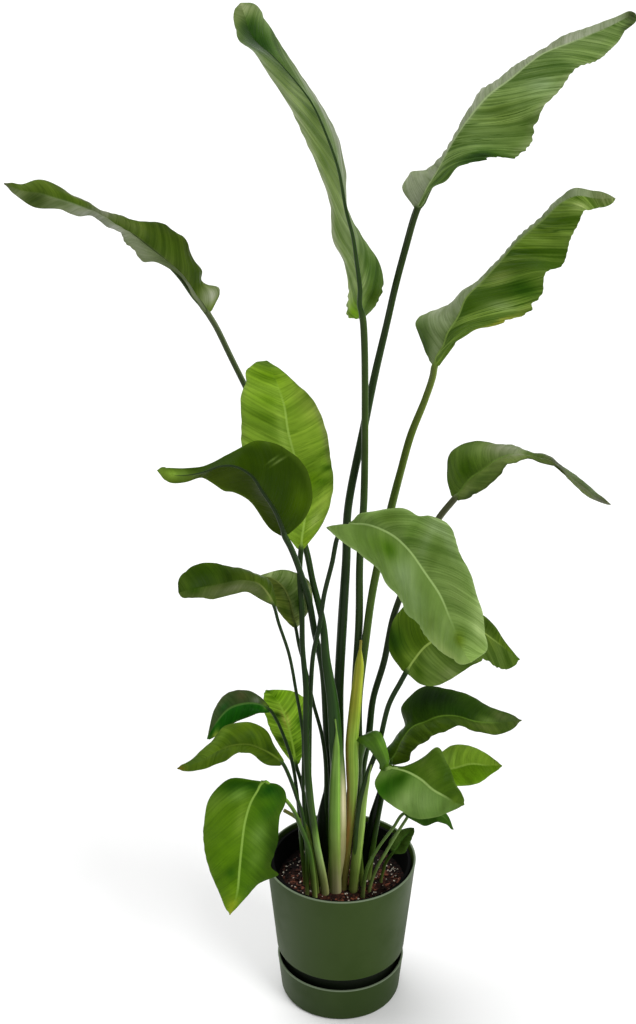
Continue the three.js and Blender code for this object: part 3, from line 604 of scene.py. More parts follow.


# Each leaf, in millimetres:
# foot     place and radius where the stalk stands in the soil
# stalk    points with a radius, and how much wider than deep the stalk is there
# ribs     left edge, midrib and right edge, from the blade's foot to its tip
# crown    how far each half is domed, and ripple: how far its edge waves
# pleat    spacing and height of the pleats; lean: how far the veins of each half run forward
# round    where the rounded end begins, with its bend; widen and lobes: where the blade is wider
# ragged   side, start, end and depth of a frayed edge
# Colours: upper and under side of the left and right half, with the light and shade on them painted in; stripe: how
# strong its streaks are;
# seen is the side that faces the camera and has the patches: its own marks and painted sheen, highlights and shade;
# shades: the stalk's colours by height in metres, with painted shade where the stalks crowd.

leafTop = {
    "foot": (6, 8, 6), "crown": 4, "ripple": 2,
    "stalk": [
        (20, 10, 460, 7.5), (20, 10, 555, 7), (25, 10, 680, 6), (25, 10, 780, 6), (30, 10, 880, 5.5),
        (30, 5, 1015, 5.5), (28, 5, 1125, 5),
    ],
    "ribs": [
        ((30, 20, 1160), (25, 0, 1165), (15, 20, 1155)),
        ((45, 35, 1170), (20, 0, 1185), (0, 30, 1155)),
        ((55, 45, 1190), (20, -5, 1210), (5, 35, 1190)),
        ((50, 50, 1225), (15, -10, 1250), (0, 40, 1230)),
        ((25, 50, 1265), (10, -10, 1285), (-15, 45, 1260)),
        ((5, 50, 1305), (0, -15, 1325), (-20, 45, 1310)),
        ((0, 50, 1360), (-10, -20, 1380), (-35, 45, 1360)),
        ((-10, 50, 1405), (-25, -25, 1425), (-55, 45, 1405)),
        ((-30, 50, 1445), (-45, -30, 1470), (-75, 40, 1450)),
        ((-55, 40, 1485), (-70, -35, 1505), (-100, 35, 1490)),
        ((-80, 25, 1525), (-95, -45, 1535), (-120, 20, 1525)),
        ((-100, -5, 1565), (-120, -55, 1560), (-140, -15, 1550)),
        ((-115, -35, 1590), (-130, -60, 1590), (-140, -45, 1580)),
        ((-130, -65, 1605), (-134, -67, 1605), (-138, -65, 1602)),
    ],
    "seen": "under", "upper": ((70, 112, 24), (70, 112, 24)), "under": ((103, 129, 68), (120, 145, 74)),
    "margin": (139, 152, 121), "tip": (113, 132, 74), "rib": (127, 159, 74), "ribUnder": (34, 58, 10),
    "stripe": (0.6, 0.65), "pleat": (26, 0.6), "lean": (1.3, 1.3), "round": 0.93,
    "ragged": [(1, 0, 0.09, 0.3), (-1, 0, 0.1, 0.12)],
    # the pale grey patches along the margins are painted sheen, and the dark ones at the foot and inside the curled
    # tip are painted shade
    "patches": [
        (-0.8, 0.66, 0.28, 0.2, (153, 160, 144), 0.9), (-0.8, 0.5, 0.3, 0.12, (153, 160, 144), 0.85),
        (-0.65, 0.34, 0.3, 0.1, (136, 151, 109), 0.6), (-0.72, 0.07, 0.5, 0.05, (48, 72, 8), 0.85),
        (-0.62, 0.155, 0.45, 0.065, (62, 94, 24), 0.8), (-0.2, 0.13, 0.12, 0.1, (127, 147, 92), 0.7),
        (0.5, 0.02, 0.55, 0.045, (94, 138, 10), 0.95), (0.9, 0.3, 0.14, 0.2, (169, 175, 151), 0.85),
        (0.88, 0.7, 0.18, 0.22, (147, 159, 127), 0.7), (0.2, 0.62, 0.3, 0.06, (72, 101, 27), 0.7),
        (0.5, 0.48, 0.3, 0.04, (87, 117, 39), 0.6), (0.1, 0.28, 0.3, 0.08, (116, 142, 69), 0.6),
        (0.3, 0.75, 0.4, 0.05, (80, 108, 34), 0.6), (-0.1, 0.78, 0.3, 0.08, (64, 93, 21), 0.7),
        (0.3, 0.93, 0.5, 0.03, (62, 90, 30), 0.7), (0.0, 0.87, 1.0, 0.06, (30, 64, 2), 0.97),
        (-0.1, 0.92, 0.6, 0.04, (34, 68, 2), 0.9), (0.0, 0.995, 1.0, 0.035, (150, 160, 118), 0.9),
        (0.1, 0.27, 0.8, 0.05, (128, 150, 98), 0.6),
    ],
    "shades": [
        (0.2, (120, 122, 78)), (0.28, (48, 72, 20)), (0.5, (26, 46, 6)), (0.75, (34, 54, 8)),
        (0.95, (44, 64, 12)), (1.2, (44, 62, 18)),
    ],
}
growLeaf("leafTop", "leaf_top", leafTop)

leafUpperRight = {
    "foot": (-8, 4, 7), "crown": 5, "ripple": 3,
    "stalk": [
        (-5, 5, 460, 8.5), (-5, 5, 560, 8.5), (0, 10, 680, 7.5), (5, 15, 780, 7.5), (7, 20, 860, 6.5),
        (30, 30, 990, 6), (45, 35, 1070, 6), (60, 40, 1140, 5.5), (72, 40, 1200, 5), (85, 40, 1255, 5),
        (95, 40, 1295, 5),
    ],
    "ribs": [
        ((95, 42, 1310), (100, 40, 1310), (105, 35, 1315)),
        ((80, 70, 1330), (105, 40, 1320), (115, 5, 1345)),
        ((90, 85, 1345), (115, 45, 1340), (130, -10, 1360)),
        ((110, 90, 1350), (125, 50, 1355), (155, -20, 1385)),
        ((140, 100, 1365), (140, 55, 1385), (190, -20, 1395)),
        ((160, 105, 1400), (155, 60, 1410), (220, -20, 1395)),
        ((175, 110, 1435), (175, 70, 1435), (245, -10, 1405)),
        ((190, 115, 1455), (195, 80, 1455), (255, 5, 1440)),
        ((220, 120, 1475), (225, 90, 1475), (280, 20, 1475)),
        ((260, 130, 1500), (265, 100, 1505), (310, 45, 1500)),
        ((305, 140, 1525), (310, 115, 1520), (345, 70, 1510)),
        ((350, 145, 1540), (355, 130, 1535), (370, 100, 1525)),
        ((380, 150, 1550), (380, 140, 1545), (385, 125, 1540)),
        ((394, 148, 1556), (397, 145, 1553), (400, 141, 1550)),
    ],
    # the pale grey left half is painted sheen, and the dark patches by the foot of the right half are painted shade
    # in its fold
    "upper": ((132, 142, 116), (95, 120, 57)), "under": ((60, 90, 22), (66, 96, 26)), "margin": (126, 140, 99),
    "tip": (76, 95, 47), "rib": (141, 159, 110), "ribUnder": (60, 84, 28), "stripe": (0.4, 0.95),
    "pleat": (14, 1.7), "round": 0.93, "ragged": [(1, 0.12, 0.42, 0.07)],
    "patches": [
        (-0.7, 0.12, 0.45, 0.08, (142, 151, 125), 0.8), (0.8, 0.23, 0.22, 0.05, (47, 81, 15), 0.9),
        (0.38, 0.4, 0.35, 0.05, (78, 102, 35), 0.7), (0.3, 0.2, 0.25, 0.06, (86, 112, 54), 0.5),
        (0.65, 0.53, 0.3, 0.045, (115, 138, 94), 0.7), (0.6, 0.62, 0.4, 0.03, (82, 110, 47), 0.6),
        (-0.5, 0.72, 0.5, 0.1, (124, 130, 107), 0.6), (0.9, 0.95, 0.35, 0.04, (46, 65, 15), 0.9),
        (0, 0.985, 1, 0.02, (51, 63, 29), 0.8), (0.35, 0.84, 0.3, 0.06, (107, 125, 77), 0.5),
        (0.92, 0.17, 0.28, 0.09, (40, 70, 9), 0.95), (0.7, 0.08, 0.3, 0.04, (64, 91, 34), 0.8),
        (0.0, 0.995, 1.0, 0.022, (44, 56, 22), 0.85),
    ],
}
growLeaf("leafUpperRight", "leaf_upper_right", leafUpperRight)

leafRight = {
    "foot": (25, -8, 6), "crown": 5, "ripple": 3,
    "stalk": [
        (25, -8, 400, 6), (25, -8, 470, 7.5), (25, -8, 550, 7), (35, 0, 650, 6), (45, 5, 735, 6),
        (71, 5, 875, 6), (83, 5, 930, 6), (96, 5, 985, 5.5), (115, 5, 1040, 5.5), (125, 5, 1075, 5),
    ],
    "ribs": [
        ((120, 8, 1098), (127, 5, 1090), (134, 0, 1094)),
        ((115, 30, 1105), (130, 5, 1105), (150, -25, 1130)),
        ((105, 55, 1125), (140, 10, 1120), (160, -40, 1150)),
        ((105, 70, 1140), (145, 15, 1135), (185, -45, 1165)),
        ((140, 80, 1150), (160, 20, 1160), (215, -50, 1175)),
        ((165, 85, 1170), (170, 25, 1185), (245, -45, 1185)),
        ((190, 85, 1185), (190, 30, 1205), (265, -40, 1205)),
        ((215, 85, 1210), (215, 40, 1230), (270, -30, 1235)),
        ((240, 85, 1245), (240, 45, 1260), (295, -10, 1245)),
        ((270, 80, 1280), (275, 50, 1290), (310, 5, 1280)),
        ((295, 75, 1310), (300, 50, 1315), (325, 20, 1310)),
        ((315, 65, 1330), (320, 45, 1325), (335, 30, 1310)),
        ((340, 55, 1330), (345, 42, 1322), (347, 33, 1312)),
        ((368, 43, 1325), (371, 40, 1323), (370, 36, 1319)),
    ],
    # the pale grey left half and its pale grey patch are painted sheen
    "upper": ((126, 142, 102), (99, 128, 45)), "under": ((70, 96, 34), (70, 96, 34)), "margin": (102, 124, 58),
    "tip": (107, 122, 74), "rib": (121, 147, 69), "ribUnder": (56, 80, 24), "stripe": (0.4, 1.0),
    "pleat": (13, 1.6), "round": 0.93, "ragged": [(1, 0.02, 0.36, 0.06)],
    "patches": [
        (-0.8, 0.24, 0.4, 0.1, (148, 157, 132), 0.8), (-0.75, 0.1, 0.4, 0.06, (76, 101, 44), 0.7),
        (0.1, 0.12, 0.3, 0.06, (77, 102, 39), 0.6), (0.68, 0.39, 0.35, 0.045, (51, 89, 13), 0.95),
        (0.22, 0.42, 0.25, 0.05, (144, 162, 87), 0.8), (0.6, 0.3, 0.3, 0.03, (117, 140, 89), 0.6),
        (0.3, 0.56, 0.35, 0.04, (79, 110, 21), 0.7), (0.3, 0.66, 0.4, 0.03, (81, 110, 24), 0.6),
        (0.7, 0.83, 0.4, 0.05, (150, 169, 101), 0.8), (0, 0.96, 0.9, 0.05, (108, 120, 72), 0.8),
        (0.97, 0.22, 0.08, 0.08, (190, 184, 68), 0.8), (-0.9, 0.05, 0.4, 0.05, (50, 76, 21), 0.85),
    ],
    "shades": [
        (0.2, (120, 122, 78)), (0.28, (48, 72, 20)), (0.5, (30, 50, 8)), (0.66, (52, 74, 12)),
        (0.9, (64, 82, 14)), (1.05, (82, 96, 30)), (1.3, (84, 98, 44)),
    ],
}
growLeaf("leafRight", "leaf_right", leafRight)

leafFarLeft = {
    "foot": (-12, -32, 9), "crown": 6, "ripple": 3, "flatness": 0.7,
    "stalk": [
        (-6, -33, 290, 10), (-5, -34, 405, 14), (-10, -35, 495, 12), (-15, -35, 565, 11),
        (-25, -30, 635, 9), (-30, -25, 695, 7), (-45, -5, 755, 5.5), (-55, 20, 795, 5),
        (-80, 50, 860, 5), (-110, 80, 935, 5), (-137, 100, 1005, 5), (-165, 110, 1065, 4.5),
        (-185, 112, 1110, 4.5),
    ],
    "ribs": [
        ((-203, 107, 1135), (-196, 110, 1131), (-190, 116, 1136)),
        ((-210, 90, 1155), (-205, 115, 1145), (-180, 150, 1155)),
        ((-220, 85, 1175), (-215, 120, 1155), (-205, 160, 1165)),
        ((-245, 80, 1210), (-235, 120, 1185), (-210, 165, 1180)),
        ((-270, 75, 1220), (-255, 125, 1205), (-225, 170, 1210)),
        ((-290, 70, 1230), (-280, 130, 1225), (-240, 170, 1235)),
        ((-305, 75, 1250), (-305, 130, 1245), (-270, 165, 1250)),
        ((-320, 90, 1260), (-330, 125, 1260), (-310, 155, 1260)),
        ((-350, 105, 1275), (-352, 125, 1275), (-345, 140, 1275)),
        ((-375, 90, 1285), (-380, 120, 1290), (-370, 140, 1290)),
        ((-405, 85, 1295), (-405, 115, 1300), (-400, 135, 1310)),
        ((-435, 80, 1300), (-430, 110, 1310), (-430, 130, 1325)),
        ((-455, 85, 1312), (-455, 100, 1318), (-455, 115, 1322)),
        ((-475, 95, 1325), (-476, 97, 1328), (-475, 100, 1332)),
    ],
    # the halves differ by painted light: the left half is painted pale grey as sheen, the right one dark as shade
    "upper": ((114, 123, 97), (70, 93, 20)), "under": ((78, 100, 42), (78, 100, 42)), "margin": (100, 111, 77),
    "tip": (73, 86, 44), "rib": (111, 128, 84), "ribFoot": (54, 66, 34), "ribUnder": (50, 74, 22),
    "stripe": (0.4, 0.55), "pleat": (18, 0.9), "lean": (0.8, 1.3), "ragged": [(1, 0, 0.1, 0.1)],
    "patches": [
        (0.5, 0.17, 0.5, 0.08, (50, 74, 10), 0.9), (0.9, 0.26, 0.3, 0.08, (60, 77, 18), 0.8),
        (0.3, 0.3, 0.3, 0.06, (63, 89, 16), 0.6), (0.85, 0.44, 0.3, 0.12, (66, 82, 34), 0.7),
        (0.3, 0.5, 0.25, 0.08, (96, 110, 62), 0.6), (0.5, 0.05, 0.7, 0.035, (150, 158, 134), 0.9),
        (-0.9, 0.6, 0.25, 0.14, (121, 124, 121), 0.6), (0.4, 0.9, 0.8, 0.08, (67, 86, 25), 0.8),
        (-0.6, 0.86, 0.9, 0.08, (44, 60, 12), 0.92), (-0.4, 0.3, 0.35, 0.1, (87, 102, 60), 0.6),
        (0.8, 0.7, 0.25, 0.1, (113, 114, 105), 0.7), (0.5, 0.6, 0.6, 0.06, (122, 124, 112), 0.7),
        (-0.6, 0.2, 0.9, 0.13, (62, 74, 42), 0.95), (0.0, 0.62, 1.0, 0.05, (112, 118, 102), 0.75),
        (-0.5, 0.76, 0.5, 0.035, (70, 86, 40), 0.6), (0.0, 0.995, 1.0, 0.016, (84, 84, 74), 0.8),
    ],
    "shades": [
        (0.2, (150, 142, 104)), (0.24, (128, 124, 84)), (0.3, (110, 112, 64)), (0.38, (84, 106, 44)),
        (0.43, (48, 74, 22)), (0.47, (30, 58, 14)), (0.75, (28, 50, 10)), (1.0, (48, 62, 28)),
        (1.2, (84, 90, 66)), (1.7, (84, 92, 64)),
    ],
    "stalkPatches": [
        (0.75, 0.385, 0.6, 0.075, (226, 212, 180), 0.97), (0.7, 0.29, 0.6, 0.05, (150, 140, 104), 0.8),
    ],
}
growLeaf("leafFarLeft", "leaf_far_left", leafFarLeft)

leafBrightBack = {
    "foot": (-26, -42, 7), "crown": -3, "ripple": 2,
    "stalk": [
        (-39, -46, 310, 7), (-43, -47, 345, 5.2), (-50, -50, 405, 5), (-55, -50, 505, 6), (-55, -50, 595, 5),
        (-60, -40, 660, 4.5), (-61, -31, 720, 4), (-64, -25, 775, 4),
    ],
    "ribs": [
        ((-68, -20, 816), (-62, -20, 813), (-56, -20, 817)),
        ((-90, -25, 850), (-60, -20, 835), (-35, -25, 850)),
        ((-120, -30, 890), (-55, -15, 870), (-20, -30, 890)),
        ((-135, -30, 940), (-55, -10, 910), (-15, -25, 930)),
        ((-145, -30, 980), (-70, -5, 955), (-20, -20, 965)),
        ((-145, -25, 1020), (-80, 0, 995), (-25, -15, 1000)),
        ((-145, -15, 1055), (-85, 5, 1030), (-45, -5, 1045)),
        ((-135, -5, 1075), (-95, 15, 1060), (-70, 10, 1065)),
        ((-125, 15, 1088), (-105, 30, 1078), (-90, 25, 1077)),
        ((-114, 38, 1086), (-110, 42, 1085), (-105, 40, 1082)),
    ],
    "upper": ((113, 147, 41), (126, 161, 45)), "under": ((100, 134, 40), (100, 134, 40)),
    "margin": (105, 127, 61), "tip": (92, 122, 33), "rib": (147, 179, 76), "ribUnder": (84, 116, 34),
    "stripe": (0.5, 0.55), "pleat": (23, 1.6), "lean": (0.3, 0.45), "round": 0.93, "roundBend": (1.0, 0.36),
    "lobes": [(-1, 0.92, 0.05, 0.28), (1, 0.95, 0.04, 0.12)],
    "patches": [
        # the thin dark patch along the crease at the right is painted shade
        (-0.35, 0.76, 0.4, 0.045, (87, 124, 15), 0.8), (-0.45, 0.67, 0.4, 0.03, (85, 119, 15), 0.7),
        (0.75, 0.75, 0.35, 0.1, (131, 154, 59), 0.7), (-0.14, 0.58, 0.14, 0.15, (160, 191, 85), 0.7),
        (0.3, 0.36, 0.3, 0.05, (111, 152, 15), 0.7), (0.75, 0.22, 0.35, 0.07, (160, 190, 73), 0.8),
        (0.5, 0.14, 0.3, 0.05, (177, 202, 109), 0.7), (0.9, 0.41, 0.3, 0.025, (67, 107, 12), 0.9),
        (0.6, 0.33, 0.3, 0.025, (79, 121, 12), 0.7), (0, 0.985, 1, 0.022, (62, 88, 25), 0.85),
        (0.2, 0.04, 0.6, 0.03, (111, 145, 19), 0.7), (0.95, 0.6, 0.1, 0.2, (116, 128, 75), 0.6),
        (-0.2, 0.9, 0.8, 0.05, (82, 117, 9), 0.8),
    ],
    "shades": [
        (0.2, (116, 112, 76)), (0.25, (120, 128, 80)), (0.3, (118, 142, 84)), (0.325, (100, 128, 60)),
        (0.35, (52, 76, 24)), (0.5, (24, 46, 6)), (0.7, (20, 40, 5)), (0.8, (30, 50, 10)),
    ],
}
growLeaf("leafBrightBack", "leaf_bright_back", leafBrightBack)

leafDarkLeft = {
    "foot": (-18, 22, 5), "crown": 5, "ripple": 2,
    "stalk": [
        (-20, 17, 390, 5.5), (-25, 12, 500, 5.5), (-30, 5, 595, 5), (-42, -10, 670, 5),
        (-50, -26, 730, 5), (-65, -50, 800, 5), (-76, -62, 838, 4.5),
    ],
    "ribs": [
        ((-79, -66, 862), (-85, -70, 862), (-91, -69, 861)),
        ((-55, -50, 880), (-90, -80, 885), (-105, -65, 870)),
        ((-45, -40, 915), (-100, -90, 915), (-120, -70, 895)),
        ((-55, -40, 955), (-115, -100, 945), (-130, -75, 915)),
        ((-85, -50, 990), (-130, -110, 975), (-150, -85, 935)),
        ((-120, -60, 1005), (-150, -115, 990), (-170, -95, 945)),
        ((-150, -80, 1000), (-170, -120, 993), (-190, -105, 965)),
        ((-190, -110, 990), (-195, -130, 988), (-200, -120, 975)),
        ((-220, -125, 992), (-220, -140, 988), (-220, -135, 975)),
        ((-240, -135, 997), (-240, -145, 992), (-240, -145, 980)),
        ((-252, -148, 1003), (-255, -150, 1000), (-252, -151, 996)),
    ],
    "seen": "under", "upper": ((74, 110, 30), (74, 110, 30)), "under": ((39, 60, 2), (46, 63, 4)),
    "margin": (78, 101, 27), "tip": (107, 135, 55), "rib": (114, 145, 62), "ribUnder": (24, 42, 6),
    "stripe": (0.15, 0.15), "pleat": (30, 0.3), "lean": (1.0, 1.0), "round": 0.95,
    # the two thin pale lines at 0.437 and 0.457 along are a painted highlight along a vein
    "patches": [
        (0.7, 0.7, 0.4, 0.12, (54, 70, 8), 0.6), (-0.1, 0.91, 0.9, 0.075, (108, 138, 46), 0.95),
        (0.3, 0.81, 0.7, 0.05, (84, 106, 32), 0.7), (-0.72, 0.2, 0.3, 0.1, (63, 90, 3), 0.6),
        (-0.9, 0.6, 0.2, 0.15, (64, 91, 6), 0.5), (-0.3, 0.35, 0.25, 0.15, (32, 53, 2), 0.7),
        (0.3, 0.3, 0.3, 0.15, (39, 51, 5), 0.6), (-0.66, 0.437, 0.2, 0.004, (150, 170, 110), 0.75),
        (-0.6, 0.457, 0.16, 0.004, (130, 152, 90), 0.65), (0.0, 0.86, 0.9, 0.035, (96, 122, 48), 0.6),
    ],
}
growLeaf("leafDarkLeft", "leaf_dark_left", leafDarkLeft)

leafMiddleLeft = {
    "foot": (-46, -30, 3), "crown": 4, "ripple": 1.5,
    "stalk": [
        (-55, -30, 305, 3), (-60, -30, 400, 3), (-60, -30, 500, 2.8), (-70, -40, 585, 2.5),
        (-80, -50, 655, 2.5), (-95, -60, 715, 2.5),
    ],
    "ribs": [
        ((-105, -61, 745), (-101, -60, 741), (-97, -58, 744)),
        ((-120, -70, 758), (-110, -65, 765), (-105, -45, 772)),
        ((-135, -85, 777), (-125, -70, 785), (-120, -45, 785)),
        ((-155, -95, 782), (-150, -80, 795), (-150, -50, 798)),
        ((-185, -110, 780), (-175, -90, 795), (-175, -60, 810)),
        ((-200, -115, 785), (-200, -100, 795), (-205, -75, 820)),
        ((-220, -120, 788), (-220, -110, 795), (-225, -90, 815)),
        ((-234, -118, 790), (-235, -116, 794), (-236, -115, 798)),
    ],
    "upper": ((71, 85, 41), (59, 80, 18)), "under": ((80, 92, 48), (80, 92, 48)), "margin": (73, 90, 37),
    "tip": (52, 73, 15), "rib": (114, 124, 66), "ribUnder": (60, 72, 28), "stripe": (0.3, 0.5),
    "pleat": (14, 0.6), "round": 0.9, "ribEnd": 0.3,
    # the grey-brown patches on the left half are painted highlights
    "patches": [
        (0.5, 0.75, 0.7, 0.16, (43, 67, 5), 0.95), (-0.2, 0.86, 0.5, 0.07, (43, 69, 4), 0.9),
        (-0.65, 0.52, 0.3, 0.12, (104, 109, 82), 0.6), (-0.3, 0.62, 0.2, 0.1, (77, 85, 45), 0.6),
        (0.3, 0.4, 0.4, 0.1, (68, 82, 25), 0.6), (-0.2, 0.1, 0.5, 0.07, (89, 113, 41), 0.8),
        (-0.7, 0.3, 0.3, 0.08, (85, 93, 61), 0.6), (0.3, 0.56, 0.6, 0.07, (40, 58, 4), 0.8),
    ],
}
growLeaf("leafMiddleLeft", "leaf_middle_left", leafMiddleLeft)

leafShadedMiddle = {
    "foot": (-22, 6, 4), "crown": 4, "ripple": 1.5,
    "stalk": [
        (-24, 2, 330, 3.8), (-25, 0, 430, 3.6), (-31, -5, 485, 3.4), (-44, -10, 545, 3),
        (-56, -15, 610, 2.8), (-65, -20, 650, 2.6),
    ],
    "ribs": [
        ((-75, -24, 687), (-70, -20, 682), (-65, -16, 686)),
        ((-90, -35, 710), (-75, -15, 705), (-50, 5, 700)),
        ((-100, -35, 730), (-80, -10, 725), (-45, 15, 720)),
        ((-110, -30, 745), (-90, -5, 745), (-55, 20, 745)),
        ((-120, -25, 758), (-108, 0, 757), (-85, 25, 757)),
        ((-129, -4, 757), (-130, 0, 758), (-127, 4, 758)),
    ],
    "upper": ((74, 88, 30), (120, 139, 84)), "under": ((60, 74, 30), (60, 74, 30)), "margin": (101, 113, 65),
    "tip": (97, 111, 60), "rib": (106, 119, 59), "ribUnder": (50, 62, 22), "stripe": (0.8, 0.8),
    "pleat": (14, 0.9),
    "patches": [
        (0.34, 0.34, 0.25, 0.14, (37, 64, 6), 0.95), (0.1, 0.12, 0.4, 0.08, (71, 84, 24), 0.6),
        (-0.2, 0.5, 0.25, 0.1, (92, 112, 56), 0.6), (-0.6, 0.3, 0.25, 0.12, (54, 73, 17), 0.8),
        (0.75, 0.5, 0.2, 0.2, (128, 139, 99), 0.7),
    ],
}
growLeaf("leafShadedMiddle", "leaf_shaded_middle", leafShadedMiddle)

leafFront = {
    "foot": (-34, -22, 4), "crown": 6, "ripple": 3,
    "stalk": [
        (-42, -22, 300, 4), (-50, -25, 380, 4), (-50, -30, 490, 4), (-48, -35, 585, 3.5),
        (-44, -40, 650, 3.5), (-35, -45, 700, 3.5), (-28, -50, 755, 3.5), (-17, -58, 810, 3.5),
    ],
    "ribs": [
        ((-8, -62, 868), (-7, -65, 863), (-14, -61, 858)),
        ((5, -70, 877), (5, -75, 880), (-25, -60, 870)),
        ((20, -80, 900), (25, -90, 890), (5, -80, 850)),
        ((45, -100, 915), (45, -110, 895), (30, -95, 840)),
        ((80, -120, 930), (70, -130, 890), (55, -120, 820)),
        ((115, -140, 930), (90, -155, 880), (75, -140, 800)),
        ((140, -165, 925), (110, -180, 860), (90, -165, 785)),
        ((160, -195, 890), (130, -210, 840), (105, -190, 780)),
        ((175, -225, 860), (142, -240, 820), (120, -220, 770)),
        ((185, -250, 830), (153, -265, 800), (140, -250, 768)),
        ((185, -275, 795), (161, -280, 787), (153, -270, 772)),
        ((172, -288, 784), (168, -290, 782), (165, -288, 779)),
    ],
    "upper": ((101, 129, 61), (107, 138, 63)), "under": ((84, 114, 40), (84, 114, 40)),
    "margin": (145, 170, 111), "tip": (143, 174, 91), "rib": (163, 191, 116), "ribUnder": (80, 108, 44),
    "stripe": (0.45, 0.14), "pleat": (20, 1.1), "lean": (1.8, 0.8), "round": 0.93,
    "lobes": [(-1, 0.4, 0.035, -0.16)], "ribEnd": 0.78,
    # the pale grey-green patches are painted sheen, and the deep green one by the fold is painted shade
    "patches": [
        (0.3, 0.34, 0.18, 0.06, (63, 104, 5), 0.97), (0.55, 0.2, 0.3, 0.06, (96, 130, 49), 0.6),
        (0.4, 0.27, 0.25, 0.04, (87, 122, 35), 0.7), (0.45, 0.46, 0.4, 0.09, (146, 172, 125), 0.6),
        (0.6, 0.58, 0.35, 0.08, (133, 161, 102), 0.7), (0.25, 0.62, 0.15, 0.08, (101, 130, 56), 0.35),
        (0.6, 0.73, 0.25, 0.05, (94, 119, 49), 0.45), (0.2, 0.8, 0.2, 0.06, (122, 149, 81), 0.5),
        (-0.5, 0.75, 0.3, 0.1, (96, 120, 59), 0.75), (0, 0.89, 0.25, 0.035, (83, 109, 19), 0.85),
        (-0.8, 0.9, 0.3, 0.06, (149, 172, 109), 0.7), (0.9, 0.88, 0.3, 0.12, (152, 174, 101), 0.7),
        (-0.65, 0.3, 0.35, 0.05, (92, 120, 45), 0.75), (-0.85, 0.55, 0.12, 0.12, (129, 150, 109), 0.6),
        (0, 0.04, 0.9, 0.05, (122, 132, 105), 0.8), (-0.6, 0.16, 0.3, 0.06, (109, 135, 73), 0.6),
        (-0.5, 0.42, 0.6, 0.03, (85, 116, 43), 0.75), (-0.5, 0.5, 0.45, 0.03, (129, 152, 104), 0.55),
        (-0.4, 0.57, 0.4, 0.03, (87, 114, 45), 0.6),
    ],
}
growLeaf("leafFront", "leaf_front", leafFront)

leafCurledRight = {
    "foot": (32, 10, 5), "crown": 4, "ripple": 2,
    "stalk": [
        (32, 10, 375, 5), (35, 10, 420, 4.5), (42, 10, 475, 4.5), (48, 12, 540, 5.5), (64, 15, 605, 5),
        (76, 20, 675, 5), (86, 22, 710, 5), (105, 30, 760, 5), (125, 35, 805, 5), (145, 40, 840, 5),
    ],
    "ribs": [
        ((160, 45, 871), (165, 40, 868), (171, 35, 867)),
        ((155, 60, 890), (175, 40, 883), (185, 15, 880)),
        ((155, 70, 915), (187, 35, 903), (200, 0, 900)),
        ((170, 75, 938), (205, 30, 920), (220, -10, 922)),
        ((205, 80, 942), (223, 30, 934), (230, -15, 942)),
        ((240, 75, 940), (245, 25, 945), (245, -20, 950)),
        ((270, 65, 936), (272, 20, 944), (270, -20, 950)),
        ((300, 50, 933), (300, 10, 940), (300, -25, 950)),
        ((325, 40, 915), (325, 0, 922), (320, -30, 935)),
        ((355, 25, 898), (351, -5, 904), (343, -30, 912)),
        ((371, 10, 887), (370, -10, 890), (366, -25, 896)),
        ((385, -14, 886), (387, -16, 885), (386, -19, 886)),
    ],
    "upper": ((78, 102, 38), (96, 116, 52)), "under": ((70, 80, 40), (70, 80, 40)), "margin": (66, 83, 39),
    "tip": (93, 97, 68), "rib": (100, 128, 50), "ribUnder": (60, 72, 30), "stripe": (0.35, 0.35),
    "pleat": (16, 0.8), "round": 0.86, "lobes": [(1, 0.5, 0.1, -0.6), (-1, 0.55, 0.07, -0.3)],
    "widen": (0.6, 1.35), "ragged": [(1, 0, 0.12, 0.12)],
    # the pale grey patches across the middle are painted sheen
    "patches": [
        (-0.3, 0.17, 0.35, 0.09, (56, 86, 12), 0.9), (-0.8, 0.16, 0.2, 0.1, (79, 105, 38), 0.6),
        (-0.5, 0.38, 0.5, 0.07, (118, 125, 97), 0.85), (0.5, 0.2, 0.3, 0.08, (71, 97, 32), 0.7),
        (0.9, 0.1, 0.25, 0.06, (42, 62, 14), 0.8), (0.3, 0.44, 0.5, 0.05, (137, 143, 119), 0.7),
        (0.0, 0.56, 1, 0.05, (60, 78, 28), 0.85), (0.6, 0.66, 0.6, 0.07, (64, 71, 38), 0.95),
        (-0.5, 0.66, 0.6, 0.07, (101, 105, 78), 0.7), (0.3, 0.82, 0.8, 0.1, (72, 80, 42), 0.9),
        (0.3, 0.95, 1, 0.05, (64, 66, 46), 0.9), (0.0, 0.655, 1.0, 0.055, (48, 56, 22), 0.85),
        (-0.5, 0.43, 0.5, 0.05, (134, 143, 116), 0.8),
    ],
    "shades": [
        (0.2, (96, 100, 60)), (0.28, (48, 72, 20)), (0.5, (26, 48, 8)), (0.68, (34, 48, 16)),
        (0.8, (70, 72, 50)),
    ],
}
growLeaf("leafCurledRight", "leaf_curled_right", leafCurledRight)

